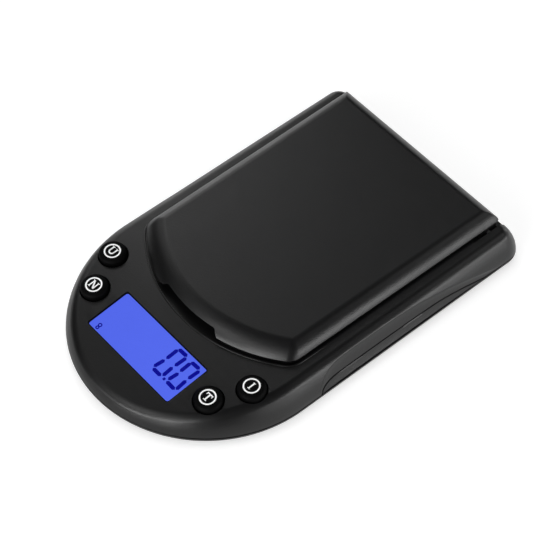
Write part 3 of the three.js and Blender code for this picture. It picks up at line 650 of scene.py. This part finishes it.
def make_battery_door(body):
    half = DOOR["half"]
    inside = box("tool", -half, half, DOOR["front"], BEYOND_REAR, 0, DOOR["top"])
    door = combine(copy_of(body, "battery_door_skin"), inside, "INTERSECT")
    groove = ((0.0, 0.2), (0.0, 0.83), (0.12, 1.0), (0.3, 1.15))
    for i in range(5):
        y = 50 + i * 1.8
        cut(door, slab("tool", groove, 8 - i, 0.4, 0.35, y + 0.4))
    join(door, box("tool", -24, 24, 26, 46, 1.5, 1.95))
    cut(door, box("tool", -18, 18, 31.4, 39.4, 1.5, 3))
    return finish_mesh(door)


def make_lid():
    levels = [
        (0.62, LID_SKIRT), (0.5, LID_SKIRT + 0.06), (0.45, LID_SKIRT + 0.2),
        (0.42, LID_CREASE - 0.42), (0.30, LID_CREASE - 0.27), (0.12, LID_CREASE - 0.16),
        (0.03, LID_CREASE - 0.08), (0.0, LID_CREASE),
    ]
    knee = (LID_TOP - LID_CREASE) * math.tan(math.radians(LID_LEAN))
    for u in spread(0.0, 1.0, 24)[1:]:
        low, mid, high = (1 - u) ** 2, 2 * LID_BULGE * u * (1 - u), u**2
        inset = (mid * knee + high * LID_ROUND) / (low + mid + high)
        levels.append((inset, (low * LID_CREASE + (mid + high) * LID_TOP) / (low + mid + high)))
    lid = ladder_loft("lid_skin", [lid_ring(inset, z) for inset, z in levels])
    hollow = (
        (0.0, 9.0), (0.0, LID_CEILING - 2.4), (0.25, LID_CEILING - 1.4),
        (0.9, LID_CEILING - 0.5), (2.4, LID_CEILING),
    )
    cut(lid, ladder_loft("tool", [lid_ring(LID_WALL + inset, z) for inset, z in hollow]))
    rear, low = LID["rear"] - 0.05, LID_TAIL
    tail = [
        (rear - 0.45, LID_SKIRT + 0.6), (rear - LID_WALL, LID_SKIRT + 0.6),
        (rear - LID_WALL, low + 0.3), (rear - 1.45, low + 0.08), (rear - 1.2, low),
        (rear - 0.8, low), (rear - 0.5, low + 0.12), (rear - 0.42, low + 0.5),
    ]
    join(lid, prism_x("tool", tail, -30.2, 30.2))
    for side in (-1, 1):
        x0, x1 = sorted((side * CHEEK["inner"], side * CHEEK["outer"]))
        r = CHEEK["radius"]
        join(lid, rod_x("tool", x0, x1, PIVOT_Y, PIVOT_Z, r, 48))
        x0, x1 = sorted((side * CHEEK["inner"], side * CHEEK["web"]))
        join(lid, box("tool", x0, x1, PIVOT_Y - r, PIVOT_Y + r, PIVOT_Z, CHEEK["top"]))
        cut(lid, rod_x("tool", side * 31 - 1.8, side * 31 + 1.8, PIVOT_Y, PIVOT_Z, PIN_HOLE, 32))
    cut(lid, notch_cutter())
    return finish_mesh(lid)


def notch_cutter():
    """Finger notch through the lid's front wall: slanted ends with soft corners."""
    outline = (
        (-13.6, 11.0), (-13.5, 13.15), (-13.3, 13.4), (-12.0, 13.6), (-11.5, 13.75),
        (-10.6, 14.45), (-9.9, 14.78), (-9.2, 14.86), (9.6, 14.86), (10.1, 14.75),
        (10.6, 14.4), (12.2, 13.0), (12.9, 12.4), (13.4, 11.0),
    )
    return loft("tool", [[(x, y, z) for x, z in outline] for y in (-34.0, -26.4)])


def make_pan():
    p = PAN
    round_z = p["top"] - PAN_ROUND
    levels = [(0.0, p["rim"]), (0.0, round_z)]
    for a in spread(0, math.pi / 2, 9)[1:]:
        levels.append((PAN_ROUND * (1 - math.cos(a)), round_z + PAN_ROUND * math.sin(a)))
    pan = slab("pan_skin", levels, p["half"], p["half_y"], p["corner"], p["y"], 14)
    inner = ((p["sheet"], p["rim"] - 1), (p["sheet"], p["top"] - p["sheet"]))
    cut(pan, slab("tool", inner, p["half"], p["half_y"], p["corner"], p["y"], 14))
    return finish_mesh(pan)


def make_key(name, x, y):
    crown = [(0.0, KEY_PROUD), (1.6, KEY_PROUD), (2.7, KEY_PROUD - 0.015)]
    for t in spread(0.0, 1.0, 12):
        a = math.pi / 2 * (1 - t)
        crown.append((2.85 + 1.2 * math.cos(a), KEY_PROUD - 0.02 - 1.15 * (1 - math.sin(a))))
    skirt = [(KEY_CAP, 0.3), (KEY_CAP, -2.2), (4.8, -2.2), (4.8, -2.9), (0.0, -2.9)]
    seat = seat_matrix(x, y, deck(y), panel_slope(y))
    return place(turned(f"{name}_cap", crown + skirt, 72), seat)


def ring_print(name, seat, outer, inner, z):
    rings = []
    for r, h in ((inner, z), (inner, z + 0.03), (outer, z + 0.03), (outer, z)):
        rings.append([(x, y, h) for x, y in circle(r, 72)])
    return place(loft(name, rings + [rings[0]], closed_ends=False), seat)


def stroke_print(name, seat, outlines, z, height=0.03):
    """Flat printed mark made of closed outlines."""
    verts, faces = [], []
    for outline in outlines:
        base, n = len(verts), len(outline)
        verts += [(x, y, z) for x, y in outline] + [(x, y, z + height) for x, y in outline]
        faces.append(tuple(range(base, base + n))[::-1])
        faces.append(tuple(range(base + n, base + 2 * n)))
        for i in range(n):
            j = (i + 1) % n
            faces.append((base + i, base + j, base + n + j, base + n + i))
    return place(make_object(name, verts, faces, 30), seat)


def rect(x0, x1, y0, y1):
    return [(x0, y0), (x1, y0), (x1, y1), (x0, y1)]


def arc_band(cx, cy, radius, width, a0, a1, steps=14):
    angles = [math.radians(a) for a in spread(a0, a1, steps)]
    outer, inner = radius + width / 2, radius - width / 2
    points = [(cx + outer * math.cos(a), cy + outer * math.sin(a)) for a in angles]
    points += [(cx + inner * math.cos(a), cy + inner * math.sin(a)) for a in reversed(angles)]
    return points


LETTERS = {
    "unit": [
        rect(-0.98, -0.52, -0.2, 1.3), rect(0.52, 0.98, -0.2, 1.3),
        arc_band(0, -0.2, 0.75, 0.46, 180, 360),
        rect(-1.26, -0.26, 1.2, 1.4), rect(0.26, 1.26, 1.2, 1.4),
    ],
    "count": [
        rect(-0.98, -0.62, -1.15, 1.15), rect(0.62, 0.98, -1.15, 1.15),
        [(-0.98, 1.15), (-0.46, 1.15), (0.98, -1.15), (0.46, -1.15)],
        rect(-1.24, -0.5, 1.05, 1.25), rect(0.4, 1.24, 1.05, 1.25), rect(-1.24, -0.4, -1.25, -1.05),
    ],
    "tare": [
        rect(-0.24, 0.24, -1.1, 1.05), rect(-1.08, 1.08, 0.86, 1.22),
        rect(-1.08, -0.84, 0.45, 0.95), rect(0.84, 1.08, 0.45, 0.95),
        rect(-0.58, 0.58, -1.24, -0.98),
    ],
    "power": [
        rect(-0.22, 0.22, -1.15, 1.15), rect(-0.42, 0.42, 1.0, 1.2),
        rect(-0.42, 0.42, -1.2, -1.0),
    ],
}

# Centre lines of the six outer bars of each nought on the display, in mm from the window's middle.
NOUGHTS = (
    ((6.0, 1.75), (5.98, 5.8)), ((6.0, 6.15), (9.4, 6.25)), ((9.62, 5.85), (9.36, 1.95)),
    ((5.95, 1.15), (5.45, -2.3)), ((5.7, -2.8), (9.1, -2.8)), ((9.25, 1.25), (9.45, -2.4)),
    ((11.75, 1.9), (11.68, 5.65)), ((11.6, 6.0), (14.9, 6.15)), ((15.3, 5.85), (15.02, 2.0)),
    ((11.85, 1.25), (11.42, -2.1)), ((11.5, -2.7), (15.0, -2.8)), ((15.05, 1.3), (15.3, -2.5)),
)
SEGMENT, SEGMENT_REACH = 1.16, 0.1


def bar(start, end):
    """Straight stroke with pointed ends that reach a little past the two given points."""
    a, b = Vector(start), Vector(end)
    along = (b - a).normalized()
    side = Vector((-along.y, along.x)) * SEGMENT / 2
    nose = along * SEGMENT * 0.45
    a, b = a - along * SEGMENT_REACH, b + along * SEGMENT_REACH
    corners = (a, a + nose - side, b - nose - side, b, b - nose + side, a + nose + side)
    return [tuple(p) for p in corners]


# ---- materials ----
class Nodes:
    """Small helper for building a material's node tree."""

    def __init__(self, name):
        self.material = bpy.data.materials.new(name)
        self.material.use_nodes = True
        self.tree = self.material.node_tree
        self.shader = self.tree.nodes["Principled BSDF"]

    def add(self, kind, **values):
        node = self.tree.nodes.new(kind)
        for key, value in values.items():
            if key in node.inputs:
                node.inputs[key].default_value = value
            else:
                setattr(node, key, value)
        return node

    def link(self, source, target):
        self.tree.links.new(source, target)

    def noise(self, scale, detail=3.0, rough=0.5, stretch=None):
        coords = self.add("ShaderNodeTexCoord")
        noise = self.add("ShaderNodeTexNoise", Scale=scale, Detail=detail, Roughness=rough)
        source = coords.outputs["Object"]
        if stretch:
            mapping = self.add("ShaderNodeMapping")
            mapping.inputs["Scale"].default_value = stretch
            self.link(source, mapping.inputs["Vector"])
            source = mapping.outputs["Vector"]
        self.link(source, noise.inputs["Vector"])
        return noise.outputs["Fac"]

    def ramp(self, source, stops):
        ramp = self.add("ShaderNodeValToRGB")
        elements = ramp.color_ramp.elements
        while len(elements) < len(stops):
            elements.new(0.5)
        for element, (position, color) in zip(elements, stops):
            element.position = position
            color = color if isinstance(color, tuple) else (color, color, color)
            element.color = (*color, 1.0)
        self.link(source, ramp.inputs["Fac"])
        return ramp.outputs["Color"]

    def mix(self, factor, a, b):
        node = self.add("ShaderNodeMix", data_type="RGBA")
        self.link(factor, node.inputs["Factor"])
        for value, socket in ((a, node.inputs["A"]), (b, node.inputs["B"])):
            if isinstance(value, tuple):
                socket.default_value = (*value, 1.0)
            else:
                self.link(value, socket)
        return node.outputs["Result"]

    def map_range(self, source, values, **settings):
        """`source` taken from (low, high) to (new low, new high), the four in `values`."""
        node = self.add("ShaderNodeMapRange", **settings)
        for socket, value in zip(("From Min", "From Max", "To Min", "To Max"), values):
            node.inputs[socket].default_value = value
        self.link(source, node.inputs["Value"])
        return node.outputs["Result"]

    def bump(self, height, distance, normal=None):
        node = self.add("ShaderNodeBump", Strength=1.0, Distance=distance)
        self.link(height, node.inputs["Height"])
        if normal:
            self.link(normal, node.inputs["Normal"])
        return node.outputs["Normal"]


def moulded(
    name, color, rough=0.42, grain=0.000026, grain_scale=2300.0, wear=0.5, specular=0.5, patch=0.14
):
    """Moulded plastic: fine spark-eroded grain, slow colour drift and slightly rubbed edges."""
    n = Nodes(name)
    dark = tuple(c * (1 - patch) for c in color)
    light = tuple(min(1.0, c * (1 + patch)) for c in color)
    drift = n.ramp(n.noise(38.0, 4.0), [(0.35, dark), (0.65, light)])
    speck = n.ramp(n.noise(grain_scale * 0.5, 2.0), [(0.3, dark), (0.75, light)])
    base = n.mix(n.noise(900.0, 2.0), drift, speck)
    edge = n.ramp(n.add("ShaderNodeNewGeometry").outputs["Pointiness"], [(0.515, 0.0), (0.56, 1.0)])
    rub = n.mix(n.noise(400.0, 3.0), (0.0, 0.0, 0.0), edge)
    worn = tuple(min(1.0, c * 1.35 + 0.008 * wear) for c in color)
    n.link(n.mix(rub, base, worn), n.shader.inputs["Base Color"])
    rough_map = n.ramp(n.noise(120.0, 5.0, 0.6), [(0.3, rough - 0.035), (0.7, rough + 0.035)])
    n.link(rough_map, n.shader.inputs["Roughness"])
    fine = n.bump(n.noise(grain_scale, 2.0), grain)
    n.link(n.bump(n.noise(60.0, 2.0), 0.00002, fine), n.shader.inputs["Normal"])
    n.shader.inputs["Specular IOR Level"].default_value = specular
    return n.material


def metal(name, color, rough, stretch=(1.0, 1.0, 1.0)):
    """Plated or brushed metal with fine lines along its length."""
    n = Nodes(name)
    lines = n.noise(1400.0, 3.0, 0.6, stretch)
    tint = n.ramp(lines, [(0.3, tuple(c * 0.86 for c in color)), (0.7, color)])
    cloud = n.ramp(n.noise(90.0, 4.0), [(0.35, tuple(c * 0.93 for c in color)), (0.65, color)])
    n.link(n.mix(n.noise(200.0, 2.0), tint, cloud), n.shader.inputs["Base Color"])
    n.link(n.ramp(lines, [(0.3, rough - 0.07), (0.7, rough + 0.07)]), n.shader.inputs["Roughness"])
    n.link(n.bump(lines, 0.000004), n.shader.inputs["Normal"])
    n.shader.inputs["Metallic"].default_value = 1.0
    return n.material


def board_material():
    """Green solder mask over paler tracks."""
    n = Nodes("board_green")
    tracks = n.add("ShaderNodeTexVoronoi", Scale=260.0, feature="DISTANCE_TO_EDGE")
    n.link(n.add("ShaderNodeTexCoord").outputs["Object"], tracks.inputs["Vector"])
    mask = n.ramp(tracks.outputs["Distance"], [(0.05, 1.0), (0.09, 0.0)])
    n.link(n.mix(mask, (0.01, 0.085, 0.03), (0.02, 0.15, 0.06)), n.shader.inputs["Base Color"])
    n.link(n.ramp(n.noise(300.0), [(0.3, 0.3), (0.7, 0.42)]), n.shader.inputs["Roughness"])
    n.link(n.bump(mask, 0.00003), n.shader.inputs["Normal"])
    return n.material


def glowing(name, color, mottle=0.1):
    """Backlit panel: an even glow with a slight mottle from the diffuser, and no gloss."""
    n = Nodes(name)
    dim = tuple(c * (1 - mottle) for c in color)
    lit = n.ramp(n.noise(55.0, 2.0), [(0.25, dim), (0.75, color)])
    n.link(lit, n.shader.inputs["Emission Color"])
    n.shader.inputs["Emission Strength"].default_value = 1.0
    unlit = n.ramp(n.noise(700.0), [(0.3, (0.004, 0.005, 0.02)), (0.7, (0.006, 0.008, 0.03))])
    n.link(unlit, n.shader.inputs["Base Color"])
    n.link(n.ramp(n.noise(200.0), [(0.3, 0.4), (0.7, 0.5)]), n.shader.inputs["Roughness"])
    n.link(n.bump(n.noise(2500.0), 0.000002), n.shader.inputs["Normal"])
    n.shader.inputs["Specular IOR Level"].default_value = 0.0
    return n.material


def window_clear():
    """Clear plastic, faintly smeared, that lets nearly all of the display through."""
    n = Nodes("window_clear")
    smear = n.noise(70.0, 4.0, 0.6, (1.0, 3.0, 1.0))
    n.link(n.ramp(smear, [(0.4, 0.16), (0.7, 0.22)]), n.shader.inputs["Roughness"])
    tint = n.ramp(smear, [(0.3, (0.004, 0.004, 0.006)), (0.7, (0.008, 0.008, 0.01))])
    n.link(tint, n.shader.inputs["Base Color"])
    n.link(n.bump(n.noise(30.0, 1.0), 0.000004), n.shader.inputs["Normal"])
    n.shader.inputs["Alpha"].default_value = 0.05
    n.shader.inputs["Specular IOR Level"].default_value = 0.1
    n.material.surface_render_method = "BLENDED"
    return n.material


BLACK = (0.003, 0.003, 0.0032)
RUBBER = (0.0012, 0.0012, 0.0013)
LOOKS = {
    "case_plastic": moulded("case_black", BLACK, 0.345),
    "carrier_plastic": moulded("carrier_black", (0.02, 0.02, 0.022), 0.5),
    "key_rubber": moulded("key_rubber", RUBBER, 0.6, 0.000004, 2500.0, 0.02, 0.07),
    "clear_window": window_clear(),
    "lcd": glowing("lcd_blue", (0.096, 0.155, 0.93), 0.04),
    "lcd_segment": glowing("segment_blue", (0.001, 0.001, 0.3)),
    "key_print": moulded("print_white", (0.93, 0.93, 0.94), 0.5, 0.000004, wear=0.0, patch=0.05),
    "light_guide": moulded("light_guide_white", (0.75, 0.76, 0.78), 0.45, wear=0.0),
    "board": board_material(),
    "chip": moulded("chip_black", (0.012, 0.012, 0.013), 0.4),
    "steel": metal("plated_steel", (0.6, 0.6, 0.61), 0.3),
    "pan_steel": metal("brushed_pan", (0.62, 0.62, 0.63), 0.27, (12.0, 0.35, 1.0)),
    "beam_aluminium": metal("machined_aluminium", (0.72, 0.73, 0.74), 0.35, (8.0, 1.0, 8.0)),
    "silicone": moulded("silicone_white", (0.6, 0.6, 0.57), 0.6, wear=0.0),
    "soft_rubber": moulded("foot_rubber", (0.03, 0.03, 0.032), 0.75, 0.00002),
    "lead_red": moulded("lead_red", (0.42, 0.02, 0.02), 0.45, wear=0.0),
    "lead_black": moulded("lead_black", (0.012, 0.012, 0.013), 0.45, wear=0.0),
}


def dress(piece, slot, body, node=None):
    """Give a piece its material and slot, let it ride with its body, and stand for a CAD node."""
    piece.data.materials.clear()
    piece.data.materials.append(LOOKS[slot])
    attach(piece, body)
    if node:
        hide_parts(node)
    return piece


# ---- assemble ----
SLOT_OF = {part["node"]: part["material_slot"] for part in frame["record"]["subparts"]}
for node_name, node in frame["nodes"].items():
    node.data.materials.clear()
    node.data.materials.append(LOOKS[SLOT_OF[node_name]])
    shade(node, 32)

body = body_solid("body")
dress(make_upper_case(body), "case_plastic", "case", "upper_case")
dress(make_underside(make_lower_case(body)), "case_plastic", "case", "lower_case")
dress(make_battery_door(body), "case_plastic", "battery_door", "battery_door")
remove(body)
dress(make_lid(), "case_plastic", "lid", "lid")
dress(make_pan(), "pan_steel", "platform", "weighing_platform")

for key, (kx, ky) in KEYS.items():
    rider = f"key_{key}"
    seat = seat_matrix(kx, ky, deck(ky), panel_slope(ky))
    dress(make_key(rider, kx, ky), "key_rubber", rider, rider)
    dress(ring_print(f"ring_{key}", seat, 2.44, 1.99, KEY_PROUD), "key_print", rider)
    dress(stroke_print(f"letter_{key}", seat, LETTERS[key], KEY_PROUD), "key_print", rider)

window_seat = seat_matrix(0, WINDOW["y"], deck(WINDOW["y"]), WINDOW["slope"])
lens_top, lens_bottom = LENS["top"], LENS["bottom"]
lens_levels = (
    (0.12, lens_bottom), (0.0, lens_bottom + 0.12), (0.0, lens_top - 0.1),
    (0.03, lens_top - 0.03), (0.1, lens_top),
)
lens = place(slab("window_lens", lens_levels, LENS["half_x"], LENS["half_y"], 0.8), window_seat)
dress(lens, "clear_window", "case", "display_window")
# Thin black rim round the window's edge, in the key rubber: painted shade, a dark band that stands
# in for the shade on the wall of the window recess.
shade_rim_foot = lens_top + 0.01
shade_rim_levels = (
    (-0.1, shade_rim_foot), (-0.1, -0.02), (0.1, -0.05), (0.16, shade_rim_foot), (-0.1, shade_rim_foot)
)
shade_rim_rings = []
for inset, z in shade_rim_levels:
    loop = rounded_loop(WINDOW["half_x"] - inset, WINDOW["half_y"] - inset, 0.7)
    shade_rim_rings.append([(x, y, z) for x, y in loop])
shade_rim = place(loft("window_shade_rim", shade_rim_rings, closed_ends=False), window_seat)
dress(shade_rim, "key_rubber", "case")
panel_levels = (
    (0.05, LCD_TOP - 1.4), (0.0, LCD_TOP - 1.35), (0.0, LCD_TOP - 0.05), (0.05, LCD_TOP)
)
panel = place(slab("lcd_panel", panel_levels, LCD_HALF_X, LCD_HALF_Y, 0.3), window_seat)
dress(panel, "lcd", "case", "lcd_glass")
segments = [bar(*ends) for ends in NOUGHTS]
segments.append(rect(10.05, 10.85, -3.15, -2.35))
segments.append(arc_band(-15.35, -4.75, 0.5, 0.34, 0, 359, 24))
segments.append(arc_band(-15.3, -5.75, 0.42, 0.34, 0, 359, 24))
digits = stroke_print("lcd_segments", window_seat, segments, LCD_TOP + 0.01, 0.04)
dress(digits, "lcd_segment", "case")

foot_profile = (
    (0, 0.0), (3.2, 0.0), (3.55, 0.05), (3.8, 0.18),
    (3.95, 0.4), (4.0, 0.65), (4.0, 1.0), (0, 1.0),
)
for foot, (fx, fy) in FEET.items():
    at = Matrix.Translation((fx * MM, fy * MM, 0))
    pad = place(turned(f"foot_pad_{foot}", foot_profile, 56), at)
    dress(pad, "soft_rubber", "case", f"foot_{foot}")


# ---- stage, light and camera ----
FLOOR_HALF = 3.0
# Emission of the floor. To the camera, by distance from the middle: dim enough near the object
# for a soft shadow to show, white further out. To everything else, by Y: none before the object.
FLOOR_SEEN, FLOOR_BOUNCE = (0.14, 0.5, 0.57, 1.0), (-0.085, -0.02, 0.0, 0.4)


def make_floor():
    mesh = bpy.data.meshes.new("floor")
    h = FLOOR_HALF
    mesh.from_pydata([(-h, -h, 0), (h, -h, 0), (h, h, 0), (-h, h, 0)], [], [(0, 1, 2, 3)])
    floor = bpy.data.objects.new("floor", mesh)
    bpy.context.scene.collection.objects.link(floor)
    n = Nodes("floor_white")
    n.link(n.ramp(n.noise(3.0), [(0.3, 0.59), (0.7, 0.61)]), n.shader.inputs["Base Color"])
    n.shader.inputs["Roughness"].default_value = 0.9
    n.shader.inputs["Specular IOR Level"].default_value = 0.1
    n.shader.inputs["Emission Color"].default_value = (1.0, 1.0, 1.0, 1.0)
    coords = n.add("ShaderNodeTexCoord")
    distance = n.add("ShaderNodeVectorMath", operation="LENGTH")
    n.link(coords.outputs["Object"], distance.inputs[0])
    axes = n.add("ShaderNodeSeparateXYZ")
    n.link(coords.outputs["Object"], axes.inputs["Vector"])
    glow = n.add("ShaderNodeMapRange")
    seen = n.map_range(distance.outputs["Value"], FLOOR_SEEN, interpolation_type="SMOOTHSTEP")
    n.link(seen, glow.inputs["To Max"])
    n.link(n.map_range(axes.outputs["Y"], FLOOR_BOUNCE), glow.inputs["To Min"])
    n.link(n.add("ShaderNodeLightPath").outputs["Is Camera Ray"], glow.inputs["Value"])
    n.link(glow.outputs["Result"], n.shader.inputs["Emission Strength"])
    mesh.materials.append(n.material)


def area_light(name, at, size, power):
    """White square light that faces the middle of the frame."""
    light = bpy.data.lights.new(name, "AREA")
    light.shape = "RECTANGLE"
    light.size = light.size_y = size
    light.energy = power
    obj = bpy.data.objects.new(name, light)
    bpy.context.scene.collection.objects.link(obj)
    obj.location = at
    obj.rotation_euler = (-Vector(at)).to_track_quat("-Z", "Y").to_euler()
    obj.visible_camera = False
    return obj


bpy.context.scene.view_settings.view_transform = "Standard"
make_floor()


# Soft panels on a dome round the object: azimuth from +X and elevation in degrees, and how
# bright the panel is. A panel's size in metres goes by its elevation.
DOME, DOME_LIFT = 0.9, 0.01
PANEL_SIZE = {9: 0.26, 24: 0.27, 40: 0.29, 56: 0.31}
PANELS = (
    (0, 9, 2.81), (22, 9, 7.3), (45, 9, 4.86), (68, 9, 0.68), (90, 9, 2.61), (112, 9, 1.1),
    (158, 9, 2.7), (248, 9, 1.75), (270, 9, 7.86), (292, 9, 7.63), (180, 24, 0.91), (270, 24, 0.25),
    (292, 24, 4.95), (51, 40, 1.15), (154, 40, 2.78), (180, 40, 0.68), (231, 40, 0.29),
    (257, 40, 2.46), (283, 40, 1.6), (334, 40, 0.15), (108, 56, 0.45), (144, 56, 0.22),
    (180, 56, 0.27), (216, 56, 0.42), (252, 56, 0.65),
)


OVERHEAD_HEIGHT, OVERHEAD_SIZE, OVERHEAD_POWER = 1.2, 1.2, 6.8
ROOM_GLOW = 0.02


def studio_light():
    """Soft panels round a dark room that the camera sees as white, and a light overhead."""
    for azimuth, elevation, bright in PANELS:
        a, e = math.radians(azimuth), math.radians(elevation)
        out, up = DOME * math.cos(e), DOME * math.sin(e) + DOME_LIFT
        at = (out * math.cos(a), out * math.sin(a), up)
        size = PANEL_SIZE[elevation]
        area_light(f"panel_{azimuth}_{elevation}", at, size, bright * math.pi * size**2)
    overhead = area_light("overhead", (0, 0, OVERHEAD_HEIGHT), OVERHEAD_SIZE, OVERHEAD_POWER)
    overhead.visible_glossy = False  # it lights the case without showing on it
    world = bpy.data.worlds.new("studio")
    bpy.context.scene.world = world
    world.use_nodes = True
    tree = world.node_tree
    path = tree.nodes.new("ShaderNodeLightPath")
    shown = tree.nodes.new("ShaderNodeMapRange")
    shown.inputs["To Min"].default_value = ROOM_GLOW
    shown.inputs["To Max"].default_value = 1.0
    tree.links.new(path.outputs["Is Camera Ray"], shown.inputs["Value"])
    tree.links.new(shown.outputs["Result"], tree.nodes["Background"].inputs["Strength"])
    tree.nodes["Background"].inputs["Color"].default_value = (1.0, 1.0, 1.0, 1.0)


studio_light()

# The camera looks at a point in the frame, in metres, from a distance along a direction.
LENS_MM, SENSOR_MM, CLIP_START, DISTANCE = 133.12, 36.0, 0.01, 0.5701
TARGET = Vector((0.00503, -0.00218, 0.01120))
BACK, RIGHT = Vector((0.4628, -0.3975, 0.7923)), Vector((0.6516, 0.7586, 0.0))

camera_data = bpy.data.cameras.new("camera")
camera = bpy.data.objects.new("camera", camera_data)
bpy.context.scene.collection.objects.link(camera)
camera_data.lens = LENS_MM
camera_data.sensor_width = SENSOR_MM
camera_data.clip_start = CLIP_START
back = BACK.normalized()
right = (RIGHT - back * RIGHT.dot(back)).normalized()
rotation = Matrix((right, back.cross(right), back)).transposed()
camera.matrix_world = Matrix.Translation(TARGET + back * DISTANCE) @ rotation.to_4x4()
bpy.context.scene.camera = camera
